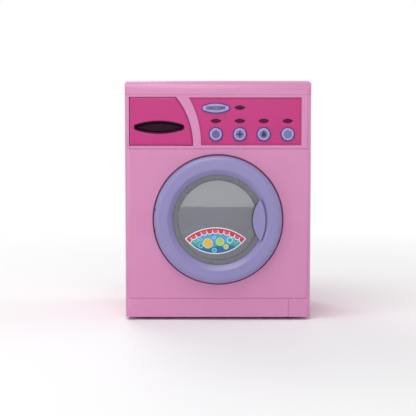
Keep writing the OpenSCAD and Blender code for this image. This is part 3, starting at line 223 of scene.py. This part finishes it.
def mouldedAcetal(name, colour, shade):  # waxy acetal: a soft sheen and a slightly cloudy colour
    material, tree, shader, place = startMaterial(name, {"IOR": 1.48, "Roughness": acetalLooks["rough"]})
    cloud = addNode(tree, "ShaderNodeTexNoise", {"Scale": 1 / (acetalLooks["cloud"] * mm), "Detail": 3.0},
                    {"Vector": place})
    tint = addNode(tree, "ShaderNodeMix", {"data_type": "RGBA", 6: linearColour(colour),
                                           7: linearColour(shade)}, {0: cloud.outputs[0]})
    tree.links.new(tint.outputs[2], shader.inputs["Base Color"])
    return material


boardLooks = {"resist": "1E6B3A", "resistShade": "1B6236", "track": "3F9A5C", "rough": 0.3,
              "trackPitch": 14, "trackShare": 0.03}


def circuitLaminate():
    # glass laminate under green solder resist, the copper tracks showing through as paler lines
    material, tree, shader, place = startMaterial("circuitLaminate", {
        "IOR": 1.5, "Roughness": boardLooks["rough"]})
    tracks = addNode(tree, "ShaderNodeTexBrick", {
        "Scale": 1 / (boardLooks["trackPitch"] * mm), "Mortar Size": boardLooks["trackShare"],
        "Color1": linearColour(boardLooks["resist"]), "Color2": linearColour(boardLooks["resistShade"]),
        "Mortar": linearColour(boardLooks["track"])})
    turned = addNode(tree, "ShaderNodeMapping", {"Rotation": (math.radians(90), 0, 0)}, {"Vector": place})
    tree.links.new(turned.outputs[0], tracks.inputs["Vector"])
    tree.links.new(tracks.outputs["Color"], shader.inputs["Base Color"])
    return material


epoxyLooks = {"colour": "D92A2A", "shade": "C01F1F", "rough": 0.08, "cloud": 1.5}


def redEpoxy():  # LED bodies cast in clear red epoxy: wet gloss, light shows through
    material, tree, shader, place = startMaterial("redEpoxy", {
        "IOR": 1.55, "Transmission Weight": 0.5, "Roughness": epoxyLooks["rough"]})
    cloud = addNode(tree, "ShaderNodeTexNoise", {"Scale": 1 / (epoxyLooks["cloud"] * mm)}, {"Vector": place})
    tint = addNode(tree, "ShaderNodeMix", {"data_type": "RGBA", 6: linearColour(epoxyLooks["colour"]),
                                           7: linearColour(epoxyLooks["shade"])}, {0: cloud.outputs[0]})
    tree.links.new(tint.outputs[2], shader.inputs["Base Color"])
    return material


materials["smokedStyrene"] = smokedStyrene()
materials["darkAcrylic"] = darkAcrylic()
materials["platedSteel"] = platedSteel()
materials["sinteredBronze"] = sinteredBronze()
materials["greyRubber"] = mouldedRubber("greyRubber", "47444B", "3A373E")
materials["blackSilicone"] = mouldedRubber("blackSilicone", "1E1E21", "151517")
materials["speakerPaper"] = mouldedRubber("speakerPaper", "37363A", "29282C")
materials["whiteAcetal"] = mouldedAcetal("whiteAcetal", "EDECE8", "E2E1DC")
materials["greyAcetal"] = mouldedAcetal("greyAcetal", "56606C", "4B5560")
materials["creamAcetal"] = mouldedAcetal("creamAcetal", "DCCB8A", "D1BF7C")
materials["circuitLaminate"] = circuitLaminate()
materials["redEpoxy"] = redEpoxy()
print("materials made:", len(materials))

finishOf = {
    "lightPinkAbs": ["front_casing", "top_cover", "base_plate", "drawer_guide", "hinge_bracket"],
    "deepPinkAbs": ["rear_casing", "battery_door"],
    "magentaAbs": ["control_panel", "drawer_front"],
    "lavenderAbs": ["door_frame", "door_back_ring", "door_handle"],
    "paleLavenderAbs": ["button_power", "button_program_1", "button_program_2", "button_program_3",
                        "button_program_4"],
    # the plum's near-black on the pull cup is painted shade for the drawer recess's shadow
    "plumAbsAndRecessShade": ["drawer_pull_cup", "battery_box"],
    "drumPlumAbs": ["drum_shell", "drum_back", "drum_lifters"],
    "whiteAbs": ["drawer_tray", "tub"],
    "clampAbs": ["gear_plate", "speaker_clamp"],
    "smokedStyrene": ["door_window"],
    "darkAcrylic": ["light_windows"],
    "platedSteel": ["casing_screws", "door_screws", "hinge_pin", "latch_clip", "drum_shaft", "idler_axle",
                    "motor_shaft", "motor", "gear_plate_screws", "battery_contacts", "battery_door_screw"],
    "sinteredBronze": ["drum_bush"],
    "greyRubber": ["feet"],
    "blackSilicone": ["contact_pads"],
    "speakerPaper": ["speaker"],
    "whiteAcetal": ["drum_gear"],
    "greyAcetal": ["idler_gear"],
    "creamAcetal": ["motor_pinion"],
    "circuitLaminate": ["circuit_board"],
    "redEpoxy": ["indicator_leds"],
}
for finish, names in finishOf.items():
    for name in names:
        mesh = nodes[name].data
        mesh.materials.clear()
        mesh.materials.append(materials[finish])
print("CAD nodes finished:", sum(len(names) for names in finishOf.values()))


# Pieces made here

pieceLooks = {"mergeWithin": 1e-7, "sharpFrom": 35}  # metres and degrees


def addPiece(name, bm, material, body):
    bmesh.ops.remove_doubles(bm, verts=bm.verts, dist=pieceLooks["mergeWithin"])
    bmesh.ops.recalc_face_normals(bm, faces=bm.faces)
    mesh = bpy.data.meshes.new(name)
    bm.to_mesh(mesh)
    bm.free()
    mesh.shade_smooth()
    mesh.set_sharp_from_angle(angle=math.radians(pieceLooks["sharpFrom"]))
    mesh.materials.append(material)
    piece = bpy.data.objects.new(name, mesh)
    scene.collection.objects.link(piece)
    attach(piece, body)
    return piece


def flatOutline(bm, points, y, centre):  # a face across the front view, from points in metres
    verts = [bm.verts.new((centre.x + p[0], y, centre.z + p[1])) for p in points]
    face = bm.faces.new(verts)
    face.normal_update()
    return face


def polarPoints(radiusAt, steps):  # radii in millimetres, points in metres
    turns = [2 * math.pi * i / steps for i in range(steps)]
    return [(radiusAt(a) * math.cos(a) * mm, radiusAt(a) * math.sin(a) * mm) for a in turns]


def raiseFaces(bm, faces, high):  # gives flat shapes their thickness, towards the front
    made = bmesh.ops.extrude_face_region(bm, geom=faces)
    raised = [v for v in made["geom"] if isinstance(v, bmesh.types.BMVert)]
    bmesh.ops.translate(bm, verts=raised, vec=(0, -high, 0))


keyLooks = {  # millimetres
    "capRadius": 6.1,
    "windowsSunk": 0.5,  # from the panel's face to the indicator windows
    "rimGap": 0.38,
    "rimWide": 0.8,
    "rimOut": 0.35,
    "discRadius": 4.2,
    "printHigh": 0.06,
    "signHigh": 0.04,
    # the rim violet is painted gap shadow round each key; the ring sign is also printed in it
    "rim": "5B3A96",
    "disc": "7C76A6",
    "ink": "232659",
    "tealInk": "3D86A6",
}
inkLooks = {"rough": 0.42, "pinhole": 0.4, "pinholeShade": 0.86}


def printedInk(name, colour):  # pad-printed ink: satin, with tiny pinholes
    material, tree, shader, place = startMaterial(name, {"IOR": 1.45, "Roughness": inkLooks["rough"]})
    holes = addNode(tree, "ShaderNodeTexNoise", {"Scale": 1 / (inkLooks["pinhole"] * mm)}, {"Vector": place})
    darker = [inkLooks["pinholeShade"] * part for part in linearColour(colour)[:3]]
    tint = addNode(tree, "ShaderNodeMix", {"data_type": "RGBA", 6: linearColour(colour), 7: (*darker, 1.0)},
                   {0: holes.outputs[0]})
    tree.links.new(tint.outputs[2], shader.inputs["Base Color"])
    return material


# rimPrint carries the painted gap shadow of the key rims as well as the ring sign's print
for ink in ("rim", "disc", "ink", "tealInk"):
    materials[ink + "Print"] = printedInk(ink + "Print", keyLooks[ink])

keyBoxes = [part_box("button_program_%d" % (i + 1)) for i in range(4)]
keyCentres = [(lo + hi) / 2 for lo, hi in keyBoxes]
capFront = keyBoxes[0][0].y
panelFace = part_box("light_windows")[0].y - keyLooks["windowsSunk"] * mm


def keyGapShadowRims():  # violet collar round each key: a raised ring whose violet is painted shadow of the gap round the key
    wide, out = keyLooks["rimWide"] * mm, keyLooks["rimOut"] * mm
    ringRadius = keyLooks["capRadius"] * mm + keyLooks["rimGap"] * mm + wide / 2
    bm = bmesh.new()
    for centre in keyCentres:
        section = bmesh.ops.create_circle(bm, radius=0.5, segments=12)["verts"]
        bmesh.ops.scale(bm, verts=section, vec=(wide, 2 * out, 1))
        bmesh.ops.translate(bm, verts=section, vec=(centre.x + ringRadius, panelFace, centre.z))
        edges = {e for v in section for e in v.link_edges}
        bmesh.ops.spin(bm, geom=section + list(edges), cent=centre, axis=(0, 1, 0),
                       angle=2 * math.pi, steps=72, use_merge=True)
    addPiece("key_gap_shadow_rims", bm, materials["rimPrint"], "cabinet")


def discPrints():  # darker disc printed in the middle of each key
    for number, centre in enumerate(keyCentres):
        bm = bmesh.new()
        disc = bmesh.ops.create_circle(bm, cap_ends=True, segments=48,
                                       radius=keyLooks["discRadius"] * mm)["verts"]
        bmesh.ops.rotate(bm, verts=disc, matrix=Matrix.Rotation(math.pi / 2, 3, "X"))
        bmesh.ops.translate(bm, verts=disc, vec=(centre.x, capFront, centre.z))
        raiseFaces(bm, bm.faces[:], keyLooks["printHigh"] * mm)
        body = "programme_key_%d" % (number + 1)
        addPiece("key_disc_%d" % (number + 1), bm, materials["discPrint"], body)


def keySigns():  # plain signs: a ring for rinse, a star for wash, a drop for water, a bubble for soap
    inkFront = capFront - keyLooks["printHigh"] * mm
    shapes = [  # name, ink, outlines: their middle, radius at an angle and radius of the hole, millimetres
        ("ring", "rimPrint", [((0, 0), lambda a: 2.9, 2.0), ((0, 0), lambda a: 1.0, 0)]),
        ("star", "inkPrint", [((0, 0), lambda a: 2.15 + 0.95 * math.cos(4 * a), 0)]),
        ("drop", "inkPrint", [((0, -0.55), lambda a: 2.3 + 1.4 * max(0.0, math.sin(a)) ** 9, 0)]),
        ("bubble", "tealInkPrint", [((-0.3, -0.4), lambda a: 2.3, 1.4), ((1.9, 1.9), lambda a: 0.75, 0)]),
    ]
    for number, (name, ink, outlines) in enumerate(shapes):
        bm = bmesh.new()
        for (x, z), radiusAt, hole in outlines:
            centre = keyCentres[number] + Vector((x * mm, 0, z * mm))
            face = flatOutline(bm, polarPoints(radiusAt, 48), inkFront, centre)
            if hole:
                bmesh.ops.inset_region(bm, faces=[face], use_boundary=True, use_even_offset=True,
                                       thickness=(radiusAt(0) - hole) * mm)
                bmesh.ops.delete(bm, geom=[face], context="FACES_ONLY")
        raiseFaces(bm, bm.faces[:], keyLooks["signHigh"] * mm)
        body = "programme_key_%d" % (number + 1)
        addPiece("key_sign_" + name, bm, materials[ink], body)


keyGapShadowRims()
print("key rims made")
discPrints()
keySigns()
print("key prints made")

powerLooks = {  # millimetres
    "half": 13.2,  # of the key's oval outline
    "rise": 4.4,
    "end": 2.2,
    "rimGap": 0.3,
    "printIn": 3.0,  # from the outline to the printed oval, at its ends
    "printFlat": 0.7,  # the share of it above and below
    "words": "ON / OFF",
    "letterHigh": 3.4,
    "emPerLetter": 1.35,
    "letterGrow": 0.06,
    "letterHalfThick": 0.04,
}


def ovalRadius(angle, half, rise, end):  # oval of four arcs: distance from its middle at an angle
    big = ((half - end) ** 2 + rise ** 2 - end ** 2) / (2 * (rise - end))
    joint = (half - end) * big / (big - end)
    c, s = abs(math.cos(angle)), abs(math.sin(angle))
    far = -(big - rise) * s + math.sqrt(big ** 2 - ((big - rise) * c) ** 2)
    if far * c <= joint:
        return far
    return (half - end) * c + math.sqrt(max(0.0, end ** 2 - ((half - end) * s) ** 2))


def powerOutline(wider, higher, steps):  # the oval key's outline, grown by these millimetres
    return polarPoints(lambda a: ovalRadius(a, powerLooks["half"] + wider, powerLooks["rise"] + higher,
                                            powerLooks["end"] + higher), steps)


def powerGapShadowRim():  # violet collar round the oval key: a raised ring whose violet is painted shadow of the gap round it
    lo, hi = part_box("button_power")
    grow = powerLooks["rimGap"] + keyLooks["rimWide"]
    bm = bmesh.new()
    face = flatOutline(bm, powerOutline(grow, grow, 120), panelFace, (lo + hi) / 2)
    bmesh.ops.inset_region(bm, faces=[face], use_boundary=True, use_even_offset=True,
                           thickness=keyLooks["rimWide"] * mm)
    bmesh.ops.delete(bm, geom=[face], context="FACES_ONLY")
    raiseFaces(bm, bm.faces[:], keyLooks["rimOut"] * mm)
    addPiece("power_gap_shadow_rim", bm, materials["rimPrint"], "cabinet")


def powerPrint():  # darker oval on the key, and the plain words ON / OFF
    lo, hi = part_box("button_power")
    centre = (lo + hi) / 2
    shrink = powerLooks["printIn"]
    bm = bmesh.new()
    outline = powerOutline(-shrink, -powerLooks["printFlat"] * shrink, 96)
    raiseFaces(bm, [flatOutline(bm, outline, lo.y, centre)], keyLooks["printHigh"] * mm)
    addPiece("power_oval", bm, materials["discPrint"], "power_key")
    curve = bpy.data.curves.new("powerWords", "FONT")
    curve.body = powerLooks["words"]
    curve.size = powerLooks["emPerLetter"] * powerLooks["letterHigh"] * mm
    curve.align_x = curve.align_y = "CENTER"
    curve.offset = powerLooks["letterGrow"] * mm
    curve.extrude = powerLooks["letterHalfThick"] * mm
    words = bpy.data.objects.new("powerWords", curve)
    scene.collection.objects.link(words)
    mesh = bpy.data.meshes.new_from_object(words)
    bpy.data.objects.remove(words)
    bm = bmesh.new()
    bm.from_mesh(mesh)
    bmesh.ops.rotate(bm, verts=bm.verts, matrix=Matrix.Rotation(math.pi / 2, 3, "X"))
    bmesh.ops.translate(bm, verts=bm.verts, vec=(centre.x, lo.y - keyLooks["printHigh"] * mm, centre.z))
    addPiece("power_words", bm, materials["inkPrint"], "power_key")


powerGapShadowRim()
powerPrint()
print("power key printed")


# Window sticker, a thin film on the dome

stickerLooks = {  # millimetres
    "middle": (-2.5, -18.5),  # from the door's middle
    "half": 30.5,
    "rise": 11.5,
    "drop": 15.5,
    "domeRadius": 40.0,
    "domeRise": 4.2,
    "border": 0.9,
    "stripe": 2.6,  # the red band under the top edge, with the border
    "film": 0.15,
    "reach": 0.996,  # of the half width, so that the two tips keep a little height
}
stickerInks = {"sea": "2E8FB4", "deep": "1F6E9C", "teal": "3FA8A4", "foam": "A8DCD8", "white": "E6EEF0",
               "yellow": "E8B64A", "lime": "B7C94A", "sky": "4BA3D6", "rose": "C23A58", "coral": "D4566E"}
stickerBands = [  # height, swing, waves per millimetre, ink: each lies over those before it
    (4.0, 0.9, 0.55, "sky"),
    (-2.0, 1.1, 0.42, "teal"),
    (-7.5, 1.0, 0.5, "deep"),
]
stickerBubbles = [  # x, z, radius, rim, fill, rim ink
    (-20.0, -1.0, 2.8, 0.6, "teal", "foam"),
    (-14.5, -7.0, 2.4, 0.5, "sea", "foam"),
    (-15.0, -1.2, 1.5, 0.4, "sky", "foam"),
    (-7.6, -4.6, 5.2, 0.7, "yellow", "foam"),
    (-1.2, -11.6, 2.4, 0.5, "sky", "foam"),
    (4.4, -3.0, 4.2, 0.7, "lime", "foam"),
    (10.4, -8.2, 2.6, 0.6, "yellow", "foam"),
    (14.2, -1.4, 3.0, 0.6, "teal", "white"),
    (20.6, -2.6, 1.9, 0.5, "sea", "foam"),
    (-1.4, 1.4, 1.4, 0.4, "sea", "white"),
]
stickerScallops = {"count": 11, "radius": 3.5, "in": 3.3, "rim": 0.7, "fills": ("rose", "coral"),
                   "reach": 0.93}  # reach is a share of the top edge


def arcRadius(half, rise):  # of an arc that rises this far over a chord 2 * half wide
    return (half ** 2 + rise ** 2) / (2 * rise)


def arcHeight(x, half, rise):  # height at x of the same arc over its chord
    ball = arcRadius(half, rise)
    return math.sqrt(max(0.0, ball ** 2 - x ** 2)) - (ball - rise)


def domeFront(x, z):  # y of the dome's outer face, x and z from the door's middle
    ball = arcRadius(stickerLooks["domeRadius"] * mm, stickerLooks["domeRise"] * mm)
    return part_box("door_window")[0].y + ball - math.sqrt(ball ** 2 - x ** 2 - z ** 2)


def stickerMiddle():
    lo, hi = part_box("door_window")
    centre = (lo + hi) / 2
    across, up = stickerLooks["middle"]
    return Vector((centre.x + across * mm, lo.y, centre.z + up * mm))


def scallopPlaces():  # a valance of round scallops hung under the top edge, as bubbles are listed
    look = stickerScallops
    ball = arcRadius(stickerLooks["half"], stickerLooks["rise"])
    reach = math.asin(stickerLooks["half"] / ball) * look["reach"]
    away = ball - look["in"]
    places = []
    for i in range(look["count"]):
        turn = reach * (2 * i / (look["count"] - 1) - 1)
        places.append((away * math.sin(turn), away * math.cos(turn) - ball + stickerLooks["rise"],
                       look["radius"], look["rim"], look["fills"][i % 2], "white"))
    return places


def inkOver(tree, colour, where, ink):  # the ink printed over the colour where the mask node gives 1
    return addNode(tree, "ShaderNodeMix", {"data_type": "RGBA", 7: linearColour(stickerInks[ink])},
                   {0: where.outputs[0], 6: colour}).outputs[2]


def printedFilm():  # glossy printed film: water bands and bubbles inside a white edge
    material, tree, shader, place = startMaterial("printedFilm", {"IOR": 1.5, "Roughness": 0.18})
    middle = stickerMiddle()
    local = addNode(tree, "ShaderNodeMapping", {"Location": (-middle.x / mm, 0, -middle.z / mm),
                                                "Scale": (1 / mm, 1 / mm, 1 / mm)}, {"Vector": place})
    axes = addNode(tree, "ShaderNodeSeparateXYZ", {}, {0: local.outputs[0]})
    flat = addNode(tree, "ShaderNodeCombineXYZ", {}, {0: axes.outputs[0], 2: axes.outputs[2]})
    colour = addNode(tree, "ShaderNodeRGB").outputs[0]
    colour.default_value = linearColour(stickerInks["sea"])
    for low, swing, pace, ink in stickerBands:
        wave = addNode(tree, "ShaderNodeMath", {"operation": "MULTIPLY", 1: pace}, {0: axes.outputs[0]})
        curl = addNode(tree, "ShaderNodeMath", {"operation": "SINE"}, {0: wave.outputs[0]})
        edge = addNode(tree, "ShaderNodeMath", {"operation": "MULTIPLY_ADD", 1: swing, 2: low},
                       {0: curl.outputs[0]})
        under = addNode(tree, "ShaderNodeMath", {"operation": "LESS_THAN"},
                        {0: axes.outputs[2], 1: edge.outputs[0]})
        colour = inkOver(tree, colour, under, ink)
    for x, z, radius, rim, fill, edgeInk in stickerBubbles + scallopPlaces():
        away = addNode(tree, "ShaderNodeVectorMath", {"operation": "DISTANCE", 1: (x, 0, z)},
                       {0: flat.outputs[0]})
        for size, ink in ((radius, edgeInk), (radius - rim, fill)):
            inside = addNode(tree, "ShaderNodeMath", {"operation": "LESS_THAN", 1: size},
                             {0: away.outputs[1]})
            colour = inkOver(tree, colour, inside, ink)
    # how far each point lies inside the top arc and the bottom arc
    near = []
    for rise, way in ((stickerLooks["rise"], 1), (stickerLooks["drop"], -1)):
        ball = arcRadius(stickerLooks["half"], rise)
        away = addNode(tree, "ShaderNodeVectorMath",
                       {"operation": "DISTANCE", 1: (0, 0, way * (rise - ball))}, {0: flat.outputs[0]})
        near.append(addNode(tree, "ShaderNodeMath", {"operation": "SUBTRACT", 0: ball},
                            {1: away.outputs[1]}).outputs[0])
    least = addNode(tree, "ShaderNodeMath", {"operation": "MINIMUM"}, {0: near[0], 1: near[1]})
    stripe = addNode(tree, "ShaderNodeMath", {"operation": "LESS_THAN", 1: stickerLooks["stripe"]},
                     {0: near[0]})
    colour = inkOver(tree, colour, stripe, "rose")
    border = addNode(tree, "ShaderNodeMath", {"operation": "LESS_THAN", 1: stickerLooks["border"]},
                     {0: least.outputs[0]})
    colour = inkOver(tree, colour, border, "white")
    tree.links.new(colour, shader.inputs["Base Color"])
    return material


def windowSticker():  # a grid drawn out to the sticker's two arcs and laid on the dome
    half, rise, drop = (stickerLooks[key] for key in ("half", "rise", "drop"))
    middle = stickerMiddle()
    bm = bmesh.new()
    bmesh.ops.create_grid(bm, x_segments=60, y_segments=20, size=1)
    for v in bm.verts:
        x = stickerLooks["reach"] * half * math.sin(v.co.x * math.pi / 2)
        low, high = -arcHeight(x, half, drop), arcHeight(x, half, rise)
        z = low + (high - low) * (v.co.y + 1) / 2
        # the door's middle is at x 0 of the frame, so only the height is measured from it
        px, pz = middle.x + x * mm, stickerLooks["middle"][1] * mm + z * mm
        v.co = Vector((px, domeFront(px, pz), middle.z + z * mm))
    bmesh.ops.recalc_face_normals(bm, faces=bm.faces)
    if sum(f.normal.y for f in bm.faces) > 0:
        bmesh.ops.reverse_faces(bm, faces=bm.faces)
    raiseFaces(bm, bm.faces[:], stickerLooks["film"] * mm)
    addPiece("window_sticker", bm, printedFilm(), "door")


windowSticker()
print("window sticker made")


# Battery contacts: a conical spring for each cell's flat end, a plate with a dimple for its button

contactLooks = {  # millimetres
    "cells": 4,
    "plate": 0.6,
    "plateRadius": 4.2,
    "wire": 0.35,  # half its thickness
    "turns": 4.5,
    "ringsPerTurn": 24,
    "wide": 3.7,
    "tip": 1.9,
    "high": 3.9,
    "dimpleWide": 2.0,
    "dimpleTip": 1.4,
    "dimpleHigh": 0.6,
}


def springWire(bm, foot, up):  # one conical helix swept along its own path
    look = contactLooks
    axis = Vector((0, 0, 1))
    steps = int(look["turns"] * look["ringsPerTurn"])
    before = None
    for i in range(steps + 1):
        share = i / steps
        turn = 2 * math.pi * look["turns"] * share
        radius = look["wide"] + (look["tip"] - look["wide"]) * share
        middle = Vector((radius * math.cos(turn), radius * math.sin(turn), up * look["high"] * share)) * mm
        out = Vector((math.cos(turn), math.sin(turn), 0))
        ring = bmesh.ops.create_circle(bm, radius=look["wire"] * mm, segments=8)["verts"]
        frameTurn = Matrix((out, axis, out.cross(axis))).transposed()
        bmesh.ops.rotate(bm, verts=ring, matrix=frameTurn)
        bmesh.ops.translate(bm, verts=ring, vec=foot + middle)
        edges = list({e for v in ring for e in v.link_edges})
        if before:
            bmesh.ops.bridge_loops(bm, edges=before + edges)
        else:
            bmesh.ops.contextual_create(bm, geom=edges)
        before = edges
    bmesh.ops.contextual_create(bm, geom=before)


def batteryContacts():
    look = contactLooks
    lo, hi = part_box("battery_contacts")
    first = lo.x + look["plateRadius"] * mm
    pitch = (hi.x - look["plateRadius"] * mm - first) / (look["cells"] - 1)
    bm = bmesh.new()
    for i in range(look["cells"]):
        for end, up in ((lo.z, 1), (hi.z, -1)):
            seat = Vector((first + i * pitch, (lo.y + hi.y) / 2, end + up * look["plate"] * mm / 2))
            bmesh.ops.create_cone(bm, cap_ends=True, segments=40, radius1=look["plateRadius"] * mm,
                                  radius2=look["plateRadius"] * mm, depth=look["plate"] * mm,
                                  matrix=Matrix.Translation(seat))
            # every second cell lies the other way up
            if (up == 1) == (i % 2 == 0):
                springWire(bm, seat + Vector((0, 0, up * (look["plate"] / 2 + look["wire"]) * mm)), up)
            else:
                button = seat + Vector((0, 0, up * look["plate"] * mm))
                bmesh.ops.create_cone(bm, cap_ends=True, segments=32, radius1=look["dimpleWide"] * mm,
                                      radius2=look["dimpleTip"] * mm, depth=look["dimpleHigh"] * mm,
                                      matrix=Matrix.Translation(button))
    piece = addPiece("battery_springs", bm, materials["platedSteel"], "cabinet")
    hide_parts("battery_contacts")


batteryContacts()
print("battery contacts wound")


# Softer edges on the mouldings: weld the loose triangles, join the flat ones, round what is left

edgeLooks = {"weldWithin": 0.001, "flatWithin": 0.3, "sharpFrom": 35}  # millimetres and degrees
edgeWidths = {  # millimetres
    "front_casing": 0.9, "rear_casing": 0.5, "door_handle": 0.6,
    "door_frame": 0.4, "drawer_tray": 0.4, "drawer_pull_cup": 0.3, "battery_door": 0.4, "top_cover": 0.4,
    "base_plate": 0.4, "button_power": 0.2, "drum_lifters": 0.5, "door_back_ring": 0.3,
}
for name, width in edgeWidths.items():
    weld = nodes[name].modifiers.new("weld", "WELD")
    weld.merge_threshold = edgeLooks["weldWithin"] * mm
    flatten = nodes[name].modifiers.new("flatten", "DECIMATE")
    flatten.decimate_type = "DISSOLVE"
    flatten.angle_limit = math.radians(edgeLooks["flatWithin"])
    bevel = nodes[name].modifiers.new("bevel", "BEVEL")
    bevel.limit_method = "ANGLE"
    bevel.angle_limit = math.radians(edgeLooks["sharpFrom"])
    bevel.width = width * mm
    bevel.segments = 2
    bevel.harden_normals = True
print("edges rounded on", len(edgeWidths), "mouldings")

# the window keeps its shape, and its normals are worked out again from its larger faces
windowLooks = {"weldWithin": 0.001, "splitFrom": 20}  # millimetres and degrees
join = nodes["door_window"].modifiers.new("join", "WELD")
join.merge_threshold = windowLooks["weldWithin"] * mm
split = nodes["door_window"].modifiers.new("split", "EDGE_SPLIT")
split.split_angle = math.radians(windowLooks["splitFrom"])
even = nodes["door_window"].modifiers.new("even", "WEIGHTED_NORMAL")
even.mode = "FACE_AREA"
print("window normals evened")


# Floor, lamps and camera

studio = {  # metres and watts
    "floor": "F6F6F6",
    "floorRadius": 6.0,
    "fadeFrom": 0.25,  # from the middle, where the floor starts to turn white
    "fadeTo": 0.9,
    "world": "F4F3F6",
    "worldStrength": 0.40,
    "lamps": [  # name, place, width, height, watts
        ("topSoftbox", (-0.3, -0.6, 1.45), 1.2, 0.8, 11.0),
        ("frontSoftbox", (-0.1, -1.75, 0.56), 2.0, 0.66, 5.6),
        ("leftStrip", (-1.3, -0.9, 0.35), 0.3, 1.1, 2.8),
        ("backSoftbox", (-0.6, 1.3, 1.1), 0.8, 0.8, 8.0),
        ("rightSoftbox", (1.5, 0.35, 0.7), 0.8, 0.8, 5.0),
    ],
    "target": (0.0, 0.0, 0.12),
}


def seenPlainly(tree):  # 1 for camera, mirror and glass rays, 0 for the light that falls on the object
    rays = addNode(tree, "ShaderNodeLightPath")
    clear = addNode(tree, "ShaderNodeMath", {"operation": "MAXIMUM"},
                    {0: rays.outputs["Is Camera Ray"], 1: rays.outputs["Is Glossy Ray"]})
    either = addNode(tree, "ShaderNodeMath", {"operation": "MAXIMUM"},
                     {0: clear.outputs[0], 1: rays.outputs["Is Transmission Ray"]})
    return either.outputs[0]


def makeFloor():
    bm = bmesh.new()
    bmesh.ops.create_circle(bm, cap_ends=True, radius=studio["floorRadius"], segments=64)
    mesh = bpy.data.meshes.new("studio_floor")
    bm.to_mesh(mesh)
    bm.free()
    material, tree, shader, place = startMaterial("paintedFloor", {
        "Base Color": linearColour(studio["floor"]), "Roughness": 0.6, "Specular IOR Level": 0.2})
    # away from the object the floor turns to plain white for the camera, so that no horizon shows
    away = addNode(tree, "ShaderNodeVectorMath", {"operation": "LENGTH"}, {0: place})
    fade = addNode(tree, "ShaderNodeMapRange",
                   {"From Min": studio["fadeFrom"], "From Max": studio["fadeTo"]},
                   {"Value": away.outputs[1]})
    seen = addNode(tree, "ShaderNodeMath", {"operation": "MULTIPLY"},
                   {0: fade.outputs[0], 1: seenPlainly(tree)})
    white = addNode(tree, "ShaderNodeEmission", {"Color": (1, 1, 1, 1), "Strength": 1.0})
    blend = addNode(tree, "ShaderNodeMixShader", {},
                    {0: seen.outputs[0], 1: shader.outputs[0], 2: white.outputs[0]})
    tree.links.new(blend.outputs[0], tree.nodes["Material Output"].inputs["Surface"])
    mesh.materials.append(material)
    floor = bpy.data.objects.new("studio_floor", mesh)
    scene.collection.objects.link(floor)


def makeWorld():
    world = bpy.data.worlds.new("studioAir")
    scene.world = world
    world.use_nodes = True
    tree = world.node_tree
    soft = tree.nodes["Background"]
    soft.inputs["Color"].default_value = linearColour(studio["world"])
    soft.inputs["Strength"].default_value = studio["worldStrength"]
    white = addNode(tree, "ShaderNodeBackground", {"Color": (1, 1, 1, 1), "Strength": 1.0})
    mix = addNode(tree, "ShaderNodeMixShader", {},
                  {0: seenPlainly(tree), 1: soft.outputs[0], 2: white.outputs[0]})
    tree.links.new(mix.outputs[0], tree.nodes["World Output"].inputs["Surface"])


def makeLamps():
    for name, place, width, height, watts in studio["lamps"]:
        lamp = bpy.data.lights.new(name, "AREA")
        lamp.shape = "RECTANGLE"
        lamp.size = width
        lamp.size_y = height
        lamp.energy = watts
        holder = bpy.data.objects.new(name, lamp)
        holder.location = place
        aim = Vector(studio["target"]) - Vector(place)
        holder.rotation_euler = aim.to_track_quat("-Z", "Y").to_euler()
        scene.collection.objects.link(holder)


cameraLooks = {
    "lens": 85.0,
    "away": 0.982,  # from the point looked at, metres
    "azimuth": 0.0,  # degrees round the object, and above the horizon
    "elevation": 4.0,
    "target": (-0.010, -0.0655, 0.113),
}


def makeCamera():
    turn, lift = math.radians(cameraLooks["azimuth"]), math.radians(cameraLooks["elevation"])
    back = Vector((math.sin(turn) * math.cos(lift), -math.cos(turn) * math.cos(lift), math.sin(lift)))
    camera = bpy.data.cameras.new("photoCamera")
    camera.lens = cameraLooks["lens"]
    holder = bpy.data.objects.new("photoCamera", camera)
    holder.location = Vector(cameraLooks["target"]) + back * cameraLooks["away"]
    holder.rotation_euler = back.to_track_quat("Z", "Y").to_euler()
    scene.collection.objects.link(holder)
    scene.camera = holder


makeFloor()
makeWorld()
makeLamps()
makeCamera()
print("studio made")
